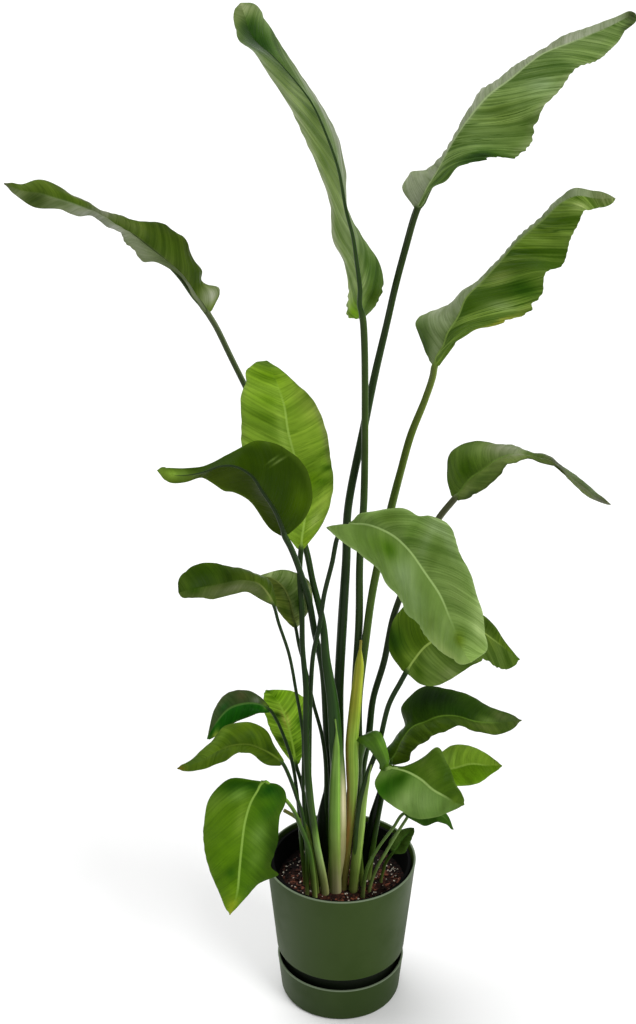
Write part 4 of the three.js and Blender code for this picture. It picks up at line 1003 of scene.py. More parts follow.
leafBehindFront = {
    "foot": (21, -36, 6), "crown": 5, "ripple": 2.5,
    "stalk": [
        (23, -42, 290, 6), (28, -42, 380, 6), (40, -41, 439, 5), (55, -38, 485, 4), (70, -45, 565, 4),
        (86, -49, 605, 4),
    ],
    "ribs": [
        ((88, -45, 625), (94, -50, 623), (99, -53, 621)),
        ((70, -30, 650), (105, -45, 640), (115, -60, 610)),
        ((75, -20, 695), (125, -40, 665), (140, -65, 610)),
        ((100, -15, 725), (150, -40, 680), (165, -65, 625)),
        ((140, -10, 735), (175, -40, 690), (195, -70, 650)),
        ((185, -15, 715), (200, -40, 690), (212, -70, 655)),
        ((220, -20, 695), (225, -45, 675), (230, -75, 643)),
        ((240, -35, 670), (243, -50, 662), (245, -75, 645)),
        ((259, -57, 654), (262, -59, 652), (261, -62, 648)),
    ],
    "upper": ((79, 104, 24), (81, 105, 40)), "under": ((64, 90, 26), (64, 90, 26)), "margin": (88, 111, 46),
    "tip": (94, 124, 34), "rib": (137, 159, 77), "ribUnder": (60, 86, 28), "stripe": (0.6, 0.6),
    "pleat": (18, 0.9), "ragged": [(1, 0.6, 0.85, 0.08)],
    "patches": [
        (-0.8, 0.17, 0.45, 0.09, (35, 65, 5), 0.95), (-0.25, 0.27, 0.3, 0.06, (69, 94, 9), 0.7),
        (0.4, 0.26, 0.35, 0.06, (87, 112, 50), 0.5), (0.85, 0.38, 0.2, 0.1, (103, 120, 70), 0.6),
        (-0.6, 0.7, 0.5, 0.1, (52, 74, 19), 0.8), (0.2, 0.73, 0.35, 0.05, (96, 118, 40), 0.6),
        (0.5, 0.88, 0.5, 0.04, (66, 92, 21), 0.6), (-0.1, 0.12, 0.25, 0.05, (104, 131, 50), 0.7),
        (0.5, 0.12, 0.4, 0.06, (55, 83, 11), 0.8),
    ],
}
growLeaf("leafBehindFront", "leaf_behind_front", leafBehindFront)

leafDarkRight = {
    "foot": (44, -6, 5), "crown": 5, "ripple": 2,
    "stalk": [
        (50, -5, 270, 5), (60, 0, 340, 4.5), (68, 3, 390, 4),
    ],
    "ribs": [
        ((71, 12, 425), (76, 9, 424), (82, 6, 422)), ((70, 25, 437), (85, 10, 443), (105, -10, 442)),
        ((85, 35, 455), (95, 10, 468), (108, -15, 462)),
        ((98, 40, 472), (110, 10, 490), (122, -20, 477)),
        ((95, 45, 505), (130, 5, 503), (135, -25, 492)),
        ((120, 50, 535), (150, 0, 515), (155, -30, 507)),
        ((160, 45, 540), (177, 0, 515), (180, -30, 517)),
        ((205, 40, 525), (205, -10, 512), (205, -35, 510)),
        ((235, 30, 512), (235, -10, 510), (235, -35, 505)),
        ((258, 10, 515), (257, -15, 515), (258, -30, 510)),
        ((272, -19, 524), (275, -21, 522), (272, -23, 519)),
    ],
    "upper": ((40, 65, 9), (57, 81, 14)), "under": ((40, 60, 16), (40, 60, 16)), "margin": (69, 87, 42),
    "tip": (94, 104, 65), "rib": (86, 116, 36), "ribUnder": (40, 58, 16), "stripe": (0.35, 0.45),
    "pleat": (16, 0.9),
    "patches": [
        (-0.6, 0.52, 0.45, 0.13, (16, 35, 4), 0.97), (-0.2, 0.6, 0.2, 0.1, (27, 54, 4), 0.8),
        (-0.5, 0.87, 0.5, 0.06, (94, 103, 60), 0.6), (0.15, 0.12, 0.6, 0.1, (69, 95, 15), 0.7),
        (0.6, 0.76, 0.4, 0.12, (83, 98, 44), 0.7), (-0.75, 0.34, 0.18, 0.05, (70, 87, 40), 0.7),
        (-0.3, 0.3, 0.2, 0.06, (54, 80, 16), 0.7), (-0.1, 0.78, 0.2, 0.06, (111, 135, 69), 0.6),
    ],
}
growLeaf("leafDarkRight", "leaf_dark_right", leafDarkRight)

leafLowerRight = {
    "foot": (33, -22, 4), "crown": 4, "ripple": 2,
    "stalk": [
        (27, -20, 320, 4), (25, -18, 395, 4), (26, -20, 460, 5, 1.2), (34, -34, 499, 7, 2.0),
        (47, -50, 505, 7.5, 2.3), (57, -57, 490, 7, 2), (64, -60, 472, 6, 1.4),
    ],
    "ribs": [
        ((68, -51, 462), (65, -54, 458), (60, -56, 457)),
        ((95, -50, 457), (80, -60, 460), (50, -60, 435)),
        ((125, -50, 475), (100, -70, 460), (60, -70, 415)),
        ((145, -55, 495), (120, -80, 453), (85, -80, 400)),
        ((160, -70, 475), (137, -95, 445), (110, -90, 390)),
        ((170, -90, 455), (154, -105, 440), (140, -100, 398)),
        ((179, -105, 447), (168, -115, 437), (158, -110, 413)),
        ((184, -122, 441), (182, -125, 438), (180, -124, 435)),
    ],
    "upper": ((60, 88, 17), (94, 127, 56)), "under": ((70, 100, 36), (70, 100, 36)), "margin": (108, 134, 69),
    "tip": (84, 110, 37), "rib": (146, 173, 98), "ribUnder": (64, 92, 32), "stripe": (0.2, 0.12),
    "pleat": (19, 0.7),
    # the pale grey-green patches on the right half are painted sheen
    "patches": [
        (0.8, 0.24, 0.55, 0.1, (38, 84, 3), 0.97), (0.3, 0.27, 0.4, 0.08, (34, 72, 3), 0.97),
        (0.7, 0.45, 0.35, 0.07, (123, 152, 85), 0.85), (0.4, 0.6, 0.4, 0.12, (113, 143, 77), 0.85),
        (-0.8, 0.66, 0.4, 0.1, (48, 77, 7), 0.85), (-0.4, 0.5, 0.2, 0.1, (76, 101, 31), 0.7),
        (-0.6, 0.36, 0.3, 0.05, (83, 106, 43), 0.6), (-0.15, 0.88, 0.5, 0.05, (86, 114, 31), 0.7),
        (0.5, 0.8, 0.4, 0.05, (83, 112, 44), 0.7), (-0.3, 0.2, 0.5, 0.05, (69, 101, 21), 0.7),
    ],
    "shades": [
        (0.2, (96, 110, 50)), (0.3, (44, 66, 16)), (0.42, (40, 62, 8)), (0.47, (52, 80, 12)),
        (0.5, (62, 94, 20)), (0.6, (60, 90, 26)),
    ],
}
growLeaf("leafLowerRight", "leaf_lower_right", leafLowerRight)

leafPaleRight = {
    "foot": (45, -38, 3), "crown": 4, "ripple": 1.5,
    "stalk": [
        (55, -38, 255, 2.8), (70, -40, 290, 2.6), (90, -35, 328, 2.5), (105, -28, 352, 2.5),
        (120, -20, 383, 2.5),
    ],
    "ribs": [
        ((131, -11, 413), (135, -15, 410), (139, -19, 407)),
        ((150, 5, 440), (155, -15, 425), (165, -35, 410)),
        ((170, 10, 455), (178, -20, 435), (187, -40, 415)),
        ((195, 5, 460), (200, -25, 445), (208, -50, 425)),
        ((220, -10, 457), (222, -35, 449), (226, -50, 440)),
        ((243, -42, 457), (246, -44, 454), (243, -46, 451)),
    ],
    "upper": ((130, 168, 48), (101, 144, 20)), "under": ((84, 116, 26), (84, 116, 26)),
    "margin": (133, 165, 72), "tip": (121, 143, 60), "rib": (152, 188, 73), "ribUnder": (70, 98, 24),
    "stripe": (0.2, 0.2), "pleat": (14, 0.8),
    "patches": [
        (-0.5, 0.3, 0.4, 0.15, (144, 179, 82), 0.6), (0.5, 0.8, 0.4, 0.08, (112, 147, 48), 0.5),
    ],
    "shades": [
        (0.2, (110, 118, 70)), (0.26, (96, 118, 62)), (0.4, (100, 124, 70)),
    ],
}
growLeaf("leafPaleRight", "leaf_pale_right", leafPaleRight)

leafSmallRight = {
    "foot": (34, -50, 4), "crown": 3, "ripple": 1,
    "stalk": [
        (40, -50, 265, 3.5), (56, -52, 305, 3), (80, -58, 350, 2.6),
    ],
    "ribs": [
        ((95, -56, 379), (95, -60, 377), (98, -64, 375)),
        ((110, -45, 387), (110, -60, 380), (112, -70, 370)),
        ((130, -45, 390), (130, -65, 382), (127, -75, 365)),
        ((150, -55, 385), (150, -70, 382), (147, -80, 375)),
        ((163, -70, 380), (163, -80, 377), (160, -83, 373)),
        ((170, -88, 371), (171, -90, 369), (169, -91, 367)),
    ],
    "upper": ((59, 96, 28), (52, 88, 23)), "under": ((40, 64, 16), (40, 64, 16)), "margin": (60, 86, 34),
    "tip": (72, 93, 48), "rib": (80, 112, 41), "ribUnder": (40, 60, 16), "stripe": (0.38, 0.38),
    "pleat": (12, 0.5),
    "patches": [
        (0.8, 0.5, 0.4, 0.2, (39, 67, 13), 0.7),
    ],
    "shades": [
        (0.2, (90, 100, 56)), (0.26, (70, 92, 40)), (0.4, (80, 104, 50)),
    ],
}
growLeaf("leafSmallRight", "leaf_small_right", leafSmallRight)

leafTinyRight = {
    "foot": (64, -14, 3), "crown": 3, "ripple": 1,
    "stalk": [
        (67, -17, 235, 2.6), (71, -20, 255, 2.4),
    ],
    "ribs": [
        ((79, -21, 279), (82, -24, 278), (85, -27, 277)),
        ((75, -15, 288), (90, -25, 290), (100, -35, 285)),
        ((85, -10, 305), (97, -25, 304), (107, -38, 305)),
        ((100, -15, 317), (107, -25, 317), (113, -33, 317)),
        ((110, -24, 326), (114, -26, 326), (115, -29, 323)),
    ],
    "upper": ((60, 86, 32), (51, 75, 23)), "under": ((34, 58, 16), (34, 58, 16)), "margin": (72, 111, 43),
    "tip": (48, 72, 29), "rib": (73, 112, 37), "ribUnder": (34, 52, 14), "stripe": (0.38, 0.38),
    "pleat": (12, 0.5),
    "patches": [
        (-0.5, 0.5, 0.4, 0.2, (84, 112, 43), 0.7),
    ],
}
growLeaf("leafTinyRight", "leaf_tiny_right", leafTinyRight)

leafHangingLeft = {
    "foot": (-42, -52, 4), "crown": 5, "ripple": 2,
    "stalk": [
        (-50, -58, 305, 4), (-65, -66, 360, 3.5), (-75, -75, 395, 3.5), (-90, -85, 425, 3),
        (-106, -92, 448, 3),
    ],
    "ribs": [
        ((-115, -95, 458), (-120, -98, 462), (-127, -98, 463)),
        ((-95, -90, 450), (-128, -105, 450), (-170, -95, 465)),
        ((-85, -90, 430), (-138, -110, 433), (-200, -100, 435)),
        ((-95, -95, 395), (-147, -120, 405), (-210, -110, 395)),
        ((-100, -105, 350), (-153, -125, 360), (-210, -115, 350)),
        ((-115, -115, 310), (-157, -130, 320), (-200, -125, 310)),
        ((-135, -125, 285), (-160, -140, 290), (-190, -130, 285)),
        ((-155, -135, 265), (-166, -145, 268), (-180, -140, 262)),
        ((-169, -149, 255), (-172, -150, 253), (-175, -149, 256)),
    ],
    "upper": ((67, 104, 11), (70, 105, 11)), "under": ((64, 98, 20), (64, 98, 20)), "margin": (81, 107, 36),
    "tip": (111, 134, 34), "rib": (130, 163, 69), "ribUnder": (60, 90, 20), "stripe": (0.3, 0.3),
    "pleat": (19, 0.7), "lean": (1.0, 1.0), "lobes": [(-1, 0.72, 0.045, 0.55)], "ribEnd": 0.85,
    # the dark patches at the foot are painted shade from the leaves above, and the dark band along the right edge is
    # painted shade in its fold
    "patches": [
        (0.85, 0.18, 0.25, 0.08, (93, 124, 40), 0.75), (0.66, 0.09, 0.45, 0.05, (28, 67, 2), 0.95),
        (0.3, 0.05, 0.4, 0.04, (22, 59, 2), 0.95), (-0.55, 0.08, 0.5, 0.07, (18, 62, 2), 0.97),
        (-0.65, 0.24, 0.35, 0.07, (41, 84, 2), 0.85), (0.12, 0.28, 0.16, 0.13, (96, 127, 39), 0.8),
        (-0.35, 0.42, 0.22, 0.09, (88, 122, 30), 0.6), (0.1, 0.93, 0.7, 0.07, (119, 139, 26), 0.9),
        (0, 0.99, 0.8, 0.025, (139, 137, 43), 0.8), (0.45, 0.55, 0.35, 0.15, (74, 113, 5), 0.6),
        (-0.9, 0.55, 0.12, 0.25, (93, 104, 46), 0.5), (-1.0, 0.48, 0.45, 0.3, (36, 62, 4), 0.95),
        (-0.95, 0.3, 0.14, 0.12, (59, 93, 16), 0.8), (-0.9, 0.72, 0.6, 0.06, (44, 70, 6), 0.85),
        (-0.45, 0.4, 0.28, 0.1, (104, 138, 66), 0.6), (-0.45, 0.58, 0.26, 0.08, (102, 136, 52), 0.6),
        (0.4, 0.13, 0.28, 0.05, (104, 138, 58), 0.7), (0.3, 0.68, 0.2, 0.05, (38, 78, 4), 0.7),
        (-0.8, 0.14, 0.22, 0.06, (34, 74, 10), 0.75), (0.2, 0.82, 0.25, 0.05, (96, 132, 18), 0.6),
    ],
    "shades": [
        (0.2, (120, 134, 70)), (0.3, (50, 76, 24)), (0.36, (48, 72, 24)), (0.42, (92, 120, 40)),
        (0.6, (70, 100, 30)),
    ],
}
growLeaf("leafHangingLeft", "leaf_hanging_left", leafHangingLeft)

leafArchedLeft = {
    "foot": (-54, -44, 3.5), "crown": 5, "ripple": 2,
    "stalk": [
        (-55, -45, 300, 3.5), (-61, -50, 365, 3), (-70, -55, 405, 3), (-81, -59, 445, 3),
    ],
    "ribs": [
        ((-95, -65, 468), (-91, -62, 471), (-89, -59, 474)),
        ((-115, -80, 480), (-105, -70, 490), (-105, -52, 500)),
        ((-130, -90, 500), (-120, -75, 503), (-120, -54, 530)),
        ((-145, -100, 515), (-140, -80, 515), (-145, -56, 540)),
        ((-160, -105, 515), (-165, -90, 520), (-175, -64, 540)),
        ((-180, -115, 507), (-185, -100, 518), (-195, -75, 522)),
        ((-205, -120, 500), (-206, -110, 510), (-215, -90, 508)),
        ((-225, -125, 498), (-227, -120, 505), (-231, -107, 503)),
        ((-244, -126, 500), (-246, -125, 503), (-245, -123, 506)),
    ],
    "upper": ((64, 88, 15), (68, 94, 14)), "under": ((60, 82, 20), (60, 82, 20)), "margin": (82, 102, 40),
    "tip": (90, 90, 22), "rib": (91, 113, 37), "ribUnder": (60, 84, 22), "stripe": (0.44, 0.44),
    "pleat": (16, 0.7), "lean": (0.9, 0.9), "ribEnd": 0.6,
    "patches": [
        (0.7, 0.58, 0.3, 0.08, (101, 129, 40), 0.85), (0.35, 0.36, 0.25, 0.07, (53, 82, 4), 0.7),
        (0.2, 0.17, 0.5, 0.08, (38, 61, 5), 0.8), (0.6, 0.43, 0.3, 0.06, (83, 108, 20), 0.6),
        (0, 0.985, 0.9, 0.03, (88, 75, 14), 0.8),
    ],
}
growLeaf("leafArchedLeft", "leaf_arched_left", leafArchedLeft)

leafShadedLeft = {
    "foot": (-58, -20, 3), "crown": 4, "ripple": 1.5,
    "stalk": [
        (-64, -21, 300, 3), (-69, -21, 380, 3), (-77, -20, 445, 2.8), (-89, -18, 490, 2.8),
        (-100, -15, 518, 2.6),
    ],
    "ribs": [
        ((-112, -15, 532), (-111, -13, 536), (-112, -10, 540)),
        ((-130, -24, 535), (-130, -12, 545), (-127, 4, 550)),
        ((-150, -30, 530), (-150, -16, 548), (-155, 6, 560)),
        ((-170, -36, 523), (-172, -22, 543), (-180, -2, 555)),
        ((-187, -44, 512), (-190, -34, 528), (-195, -14, 538)),
        ((-204, -49, 503), (-206, -47, 505), (-205, -44, 509)),
    ],
    "upper": ((18, 72, 5), (52, 69, 34)), "under": ((40, 62, 24), (40, 62, 24)), "margin": (93, 88, 72),
    "tip": (102, 127, 66), "rib": (63, 98, 39), "ribUnder": (40, 58, 20), "stripe": (0.4, 0.4),
    "pleat": (14, 0.9),
    # the pale grey patch near the foot is a painted highlight
    "patches": [
        (0.55, 0.36, 0.4, 0.06, (79, 76, 50), 0.8), (0.3, 0.2, 0.35, 0.05, (110, 117, 104), 0.8),
        (0.2, 0.06, 0.8, 0.05, (104, 128, 45), 0.85), (-0.9, 0.83, 0.5, 0.1, (142, 165, 58), 0.9),
        (0.3, 0.6, 0.3, 0.1, (27, 67, 23), 0.8), (0.8, 0.72, 0.2, 0.08, (59, 74, 45), 0.6),
    ],
}
growLeaf("leafShadedLeft", "leaf_shaded_left", leafShadedLeft)

leafBrightLeft = {
    "foot": (-42, 2, 3.5), "crown": -3, "ripple": 1.5,
    "stalk": [
        (-50, 0, 285, 3.2), (-56, 0, 350, 3), (-64, 3, 395, 3),
    ],
    "ribs": [
        ((-76, 4, 425), (-71, 5, 422), (-66, 6, 426)), ((-95, 5, 455), (-75, 10, 448), (-57, 10, 455)),
        ((-110, 10, 482), (-82, 20, 480), (-55, 10, 492)),
        ((-120, 15, 510), (-90, 25, 505), (-55, 20, 530)),
        ((-122, 20, 530), (-100, 30, 525), (-75, 25, 545)),
        ((-121, 31, 541), (-118, 33, 543), (-114, 33, 544)),
    ],
    "upper": ((165, 211, 62), (134, 182, 44)), "under": ((88, 120, 30), (88, 120, 30)),
    "margin": (131, 164, 60), "tip": (103, 153, 24), "rib": (167, 210, 70), "ribUnder": (80, 108, 26),
    "stripe": (0.8, 0.9), "pleat": (13, 1.3), "ragged": [(-1, 0.5, 0.95, 0.08)],
    "patches": [
        (0.1, 0.86, 0.8, 0.06, (112, 168, 15), 0.8), (-0.05, 0.56, 0.2, 0.12, (215, 215, 106), 0.85),
        (-0.42, 0.62, 0.3, 0.06, (47, 78, 10), 0.9), (0.65, 0.5, 0.25, 0.05, (54, 101, 10), 0.85),
        (0.15, 0.18, 0.5, 0.09, (106, 147, 29), 0.8), (-0.7, 0.3, 0.3, 0.1, (53, 83, 17), 0.7),
    ],
}
growLeaf("leafBrightLeft", "leaf_bright_left", leafBrightLeft)

print("leaves grown")

# shoots: sheaths and a stub that stand among the stalks, without a blade

youngSheath = {
    "foot": (5, -32, 6), "flatness": 0.6,
    "shades": [
        (0.2, (112, 106, 62)), (0.28, (112, 106, 48)), (0.34, (108, 102, 36)), (0.4, (112, 132, 48)),
        (0.5, (122, 148, 46)), (0.56, (134, 142, 36)), (0.64, (140, 146, 38)), (0.67, (112, 100, 44)),
    ],
    "stalkPatches": [
        (-0.95, 0.42, 0.35, 0.12, (104, 66, 28), 0.9), (-0.5, 0.325, 0.6, 0.04, (136, 88, 34), 0.75),
        (-0.3, 0.6, 0.5, 0.06, (128, 122, 30), 0.7), (0.7, 0.45, 0.4, 0.12, (110, 146, 60), 0.7),
    ],
    "stalk": [
        (11, -34, 300, 5), (16, -36, 395, 5), (16, -36, 440, 8), (15, -36, 490, 10), (20, -35, 565, 10),
        (25, -31, 625, 9), (26, -30, 652, 7), (27, -30, 667, 2),
    ],
}
paleSheath = {
    "foot": (19, -40, 5), "flatness": 0.7,
    "shades": [
        (0.2, (112, 112, 66)), (0.24, (96, 112, 52)), (0.3, (102, 124, 56)), (0.38, (112, 138, 62)),
        (0.45, (126, 152, 76)),
    ],
    "stalkPatches": [(-0.9, 0.32, 0.4, 0.1, (60, 78, 24), 0.7)],
    "stalk": [
        (24, -42, 285, 7.5), (29, -42, 340, 8), (34, -42, 393, 7.5), (40, -43, 428, 5.5), (43, -44, 446, 3),
        (45, -44, 456, 1),
    ],
}
# sheaths in the hollow among the stalks; their near-black colour is painted shade
shadowedSheath = {
    "foot": (-30, 4, 8), "flatness": 0.5,
    "shades": [(0.2, (30, 34, 16)), (0.28, (12, 22, 6)), (0.42, (16, 34, 8))],
    "stalk": [(-31, 4, 270, 11), (-30, 3, 330, 11), (-27, 2, 375, 8), (-23, 2, 415, 1.5)],
}
shadowedDeepSheath = {
    "foot": (42, 6, 7), "flatness": 0.5,
    "shades": [(0.2, (30, 34, 16)), (0.28, (10, 20, 5)), (0.42, (18, 34, 8))],
    "stalk": [(46, 6, 270, 9), (54, 6, 330, 10), (62, 6, 385, 9), (69, 6, 430, 2)],
}
splitSheath = {  # the oldest sheath, split to a point in front of the widest stalk
    "foot": (-9, -41, 9), "flatness": 0.7,
    "shades": [
        (0.2, (126, 118, 92)), (0.25, (118, 120, 80)), (0.29, (100, 116, 56)), (0.36, (98, 130, 50)),
        (0.46, (94, 128, 48)), (0.54, (100, 130, 56)),
    ],
    "stalkPatches": [(-0.95, 0.36, 0.25, 0.2, (62, 88, 26), 0.7), (-0.2, 0.47, 0.4, 0.04, (126, 158, 80), 0.6)],
    "stalk": [
        (-11, -41, 330, 9.5), (-11, -42, 405, 9.5), (-10, -43, 450, 9), (-9, -45, 490, 7.4), (-9, -46, 518, 5),
        (-11, -47, 540, 1.2),
    ],
}
cutStub = {
    "foot": (-38, -42, 3.2),
    "shades": [(0.2, (90, 100, 50)), (0.3, (70, 92, 30)), (0.36, (98, 108, 40)), (0.38, (84, 66, 36))],
    "stalk": [(-48, -40, 300, 3.2), (-58, -38, 338, 3.6), (-72, -38, 355, 4.4), (-90, -38, 368, 3)],
}


def growShoot(name, plan, node=None):
    spine = [point * mm for point in footPoints(plan)]
    shoot = growStalk(name, plan, spine, len(spine), 0)
    shoot.data.name = name
    makeActive(shoot)
    smoothShade(plantSmoothing)
    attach(shoot, "root")
    if node:
        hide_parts(node)


growShoot("youngSheath", youngSheath, "young_sheath")
growShoot("paleSheath", paleSheath)
growShoot("splitSheath", splitSheath)
growShoot("shadowedSheath", shadowedSheath)
growShoot("shadowedDeepSheath", shadowedDeepSheath)
growShoot("cutStub", cutStub)
print("shoots grown")


# pots: each outline is spun about the pot's axis, then its edges are rounded

spun = {"greenSteps": 192, "blackSteps": 128, "mergeWithin": 0.01, "edgesOver": 25, "segments": 3, "smoothUnder": 40}


def spinPiece(name, outline, steps, rounding):
    bpy.ops.object.select_all(action="DESELECT")
    bpy.ops.mesh.primitive_circle_add(vertices=len(outline), radius=1)
    piece = bpy.context.object
    piece.name = piece.data.name = name
    for vertex, (radius, height) in zip(piece.data.vertices, outline):
        vertex.co = (radius * mm, 0, height * mm)
    bpy.ops.object.mode_set(mode="EDIT")
    bpy.ops.mesh.select_all(action="SELECT")
    bpy.ops.mesh.spin(steps=steps, angle=2 * math.pi, center=(0, 0, 0), axis=(0, 0, 1), dupli=False)
    bpy.ops.mesh.select_all(action="SELECT")
    bpy.ops.mesh.remove_doubles(threshold=spun["mergeWithin"] * mm)
    bpy.ops.mesh.select_all(action="SELECT")
    bpy.ops.mesh.normals_make_consistent(inside=False)
    bpy.ops.object.mode_set(mode="OBJECT")
    finishModifier(
        piece, "BEVEL", width=rounding * mm, segments=spun["segments"], limit_method="ANGLE",
        angle_limit=math.radians(spun["edgesOver"]))
    smoothShade(spun["smoothUnder"])
    return piece


plastic = {
    "cloud": (7.0, 4.0, 0.35, 0.68), "speck": (900.0, 2.0), "bump": (0.12, 0.0003),
    "deep": (0.82, 0.86, 0.8, 1), "rimSheen": (0.3, 0.36, 0.26, 1), "rimSheenFrom": 0.0022, "rimSheenTo": 0.0008,
    "dark": (0.002, 0.003, 0.002, 1), "recessShadeShare": 0.93, "recessShadeFade": 0.004,
}


def plasticMaterial(name, plan, rimHeight, paintedShadeBelow=0.0):
    # heights in metres: a band under the rim is painted pale as a highlight, and below the last height the recess is
    # painted near black as shade
    material, tree, shader = newMaterial(name, plan["gloss"])
    place = objectNode(tree)
    height = separateNode(tree, place)[2]
    cloud = patchyNode(tree, place, *plastic["cloud"])
    face = screenColour(*plan["colour"])
    rimSheen = mixNode(tree, plan["rimLight"], face, plastic["rimSheen"])
    colour = mixNode(tree, cloud, face, dyedNode(tree, face, plastic["deep"]))
    # painted highlight: a thin band just under the rim is painted paler
    atRim = fadeNode(tree, height, rimHeight - plastic["rimSheenFrom"], rimHeight - plastic["rimSheenTo"])
    colour = mixNode(tree, atRim, colour, rimSheen)
    # painted shade: the recess below the given height is painted near black
    recessShade = fadeNode(tree, height, paintedShadeBelow - plastic["recessShadeFade"], paintedShadeBelow, plastic["recessShadeShare"], 0.0)
    colour = mixNode(tree, recessShade, colour, plastic["dark"])
    roughness = fadeNode(tree, cloud, 0.0, 1.0, *plan["roughness"])
    finishShader(tree, shader, colour, roughness, noiseNode(tree, place, *plastic["speck"]), plastic["bump"])
    return material


greenPot = {
    "rim": 253, "rimRadius": 120, "wall": 3.2, "shoulder": 85, "shoulderRadius": 104,
    "neckRadius": 93, "bottom": 4.3, "drain": 7, "rounding": 0.4,
    "colour": (43, 62, 10), "rimLight": 0.4, "roughness": (0.5, 0.62), "gloss": 0.14,
}


def makePot(plan):
    rim, wall, shoulder = plan["rim"], plan["wall"], plan["shoulder"]
    outer, waist, neck, bottom = plan["rimRadius"], plan["shoulderRadius"], plan["neckRadius"], plan["bottom"]
    outline = [
        (plan["drain"], bottom), (neck - 6, bottom), (neck - 3, bottom + 3), (neck, shoulder),
        (waist - 3, shoulder), (waist - 1, shoulder + 1.5), (waist, shoulder + 5),
        (outer - 0.6, rim - 3), (outer, rim - 1.2), (outer - 1.2, rim),
        (outer - wall + 0.4, rim), (outer - wall - 0.6, rim - 2), (waist - wall, shoulder + 9),
        (neck - wall, shoulder + 2), (neck - wall - 3, bottom + 6), (neck - wall - 6, bottom + wall),
        (plan["drain"], bottom + wall),
    ]
    pot = spinPiece("greenPot", outline, spun["greenSteps"], plan["rounding"])
    pot.data.materials.append(plasticMaterial("potPlastic", plan, rim * mm, shoulder * mm))
    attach(pot, "root")
    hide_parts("pot")


makePot(greenPot)

greenSaucer = {
    "height": 65, "rimRadius": 103, "baseRadius": 92, "wall": 3, "floor": 4, "rounding": 0.4,
    "colour": (41, 59, 14), "rimLight": 0.4, "roughness": (0.5, 0.62), "gloss": 0.14,
}


def makeSaucer(plan):
    top, wall, floor = plan["height"], plan["wall"], plan["floor"]
    outer, base = plan["rimRadius"], plan["baseRadius"]
    outline = [
        (0.01, 0), (base, 0), (base + 3, 1.5), (base + 5, 6), (outer - 0.5, top - 3), (outer, top - 1),
        (outer - 1, top), (outer - wall, top), (base + 2, floor + 4), (base - 2, floor), (0.01, floor),
    ]
    saucer = spinPiece("greenSaucer", outline, spun["greenSteps"], plan["rounding"])
    saucer.data.materials.append(plasticMaterial("saucerPlastic", plan, top * mm))
    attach(saucer, "root")
    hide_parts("saucer")


makeSaucer(greenSaucer)

blackLiner = {
    "rim": 247, "rimRadius": 112, "baseRadius": 78, "wall": 1.6, "bottom": 7.8, "drain": 7, "band": 9,
    "rounding": 0.3, "colour": (3, 4, 3), "rimLight": 0.0, "roughness": (0.7, 0.82), "gloss": 0.06,
}


def makeLiner(plan):
    rim, wall, bottom, base = plan["rim"], plan["wall"], plan["bottom"], plan["baseRadius"]
    band = rim - plan["band"]

    def inner(height):
        return base + (plan["rimRadius"] - 3 - base) * (height - bottom) / (rim - bottom) - wall

    outline = [
        (plan["drain"], bottom), (base, bottom), (inner(band) + wall, band), (plan["rimRadius"] - 0.5, band),
        (plan["rimRadius"], rim), (inner(rim), rim), (inner(bottom + wall), bottom + wall),
        (plan["drain"], bottom + wall),
    ]
    liner = spinPiece("nurseryPot", outline, spun["blackSteps"], plan["rounding"])
    liner.data.materials.append(plasticMaterial("linerPlastic", plan, rim * mm))
    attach(liner, "root")
    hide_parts("nursery_pot")


makeLiner(blackLiner)
print("pots made")


soil = {
    "radius": 102.4, "edge": 208.5, "mound": 5, "flatWithin": 40, "depth": 30, "bottomShare": 0.9, "grid": 150,
    # lumps and crumbs of its shape: height, how close they come, and a shift that keeps them apart
    "swells": ((2.2, 0.06, 0), (1.5, 0.17, 9), (0.9, 0.45, 4)), "smoothUnder": 60,
    "dark": (34, 18, 13), "red": (96, 52, 37), "pit": (18, 12, 10), "soilShadeDye": (0.22, 0.22, 0.24, 1),
    "lump": (120.0, 5.0, 0.42, 0.66, 0.65), "crumb": (420.0, 4.0, 0.4, 0.65, 0.7), "crumbShare": 0.6,
    "shadeBehind": (-0.01, 0.03), "shadeLeft": (-0.09, -0.06, 0.7, 0.0),
    "gloss": 0.2, "roughness": 0.9, "bump": (0.8, 0.0016),
}
standing = [
    leafTop, leafUpperRight, leafRight, leafFarLeft, leafBrightBack, leafDarkLeft, leafMiddleLeft,
    leafShadedMiddle, leafFront, leafCurledRight, leafBehindFront, leafDarkRight, leafLowerRight,
    leafPaleRight, leafSmallRight, leafTinyRight, leafHangingLeft, leafArchedLeft, leafShadedLeft,
    leafBrightLeft, youngSheath, paleSheath, splitSheath, shadowedSheath, shadowedDeepSheath, cutStub,
]


def soilHeight(x, y):
    # in millimetres: a low mound with lumps and crumbs
    height = soil["edge"] + soil["mound"] * (1 - smoothStep(soil["flatWithin"], soil["radius"], math.hypot(x, y)))
    for rise, closeness, shift in soil["swells"]:
        height += rise * noise.noise(Vector((x, y, shift)) * closeness)
    return height


def paintedSoilShade(tree, place, colour):
    # painted shade: the mix is darkened behind the stalks and at the left, where the stalks and the pot shade it
    x, y, _ = separateNode(tree, place)
    behind, left = fadeNode(tree, y, *soil["shadeBehind"]), fadeNode(tree, x, *soil["shadeLeft"])
    return mixNode(tree, mathNode(tree, "MAXIMUM", behind, left), colour, dyedNode(tree, colour, soil["soilShadeDye"]))


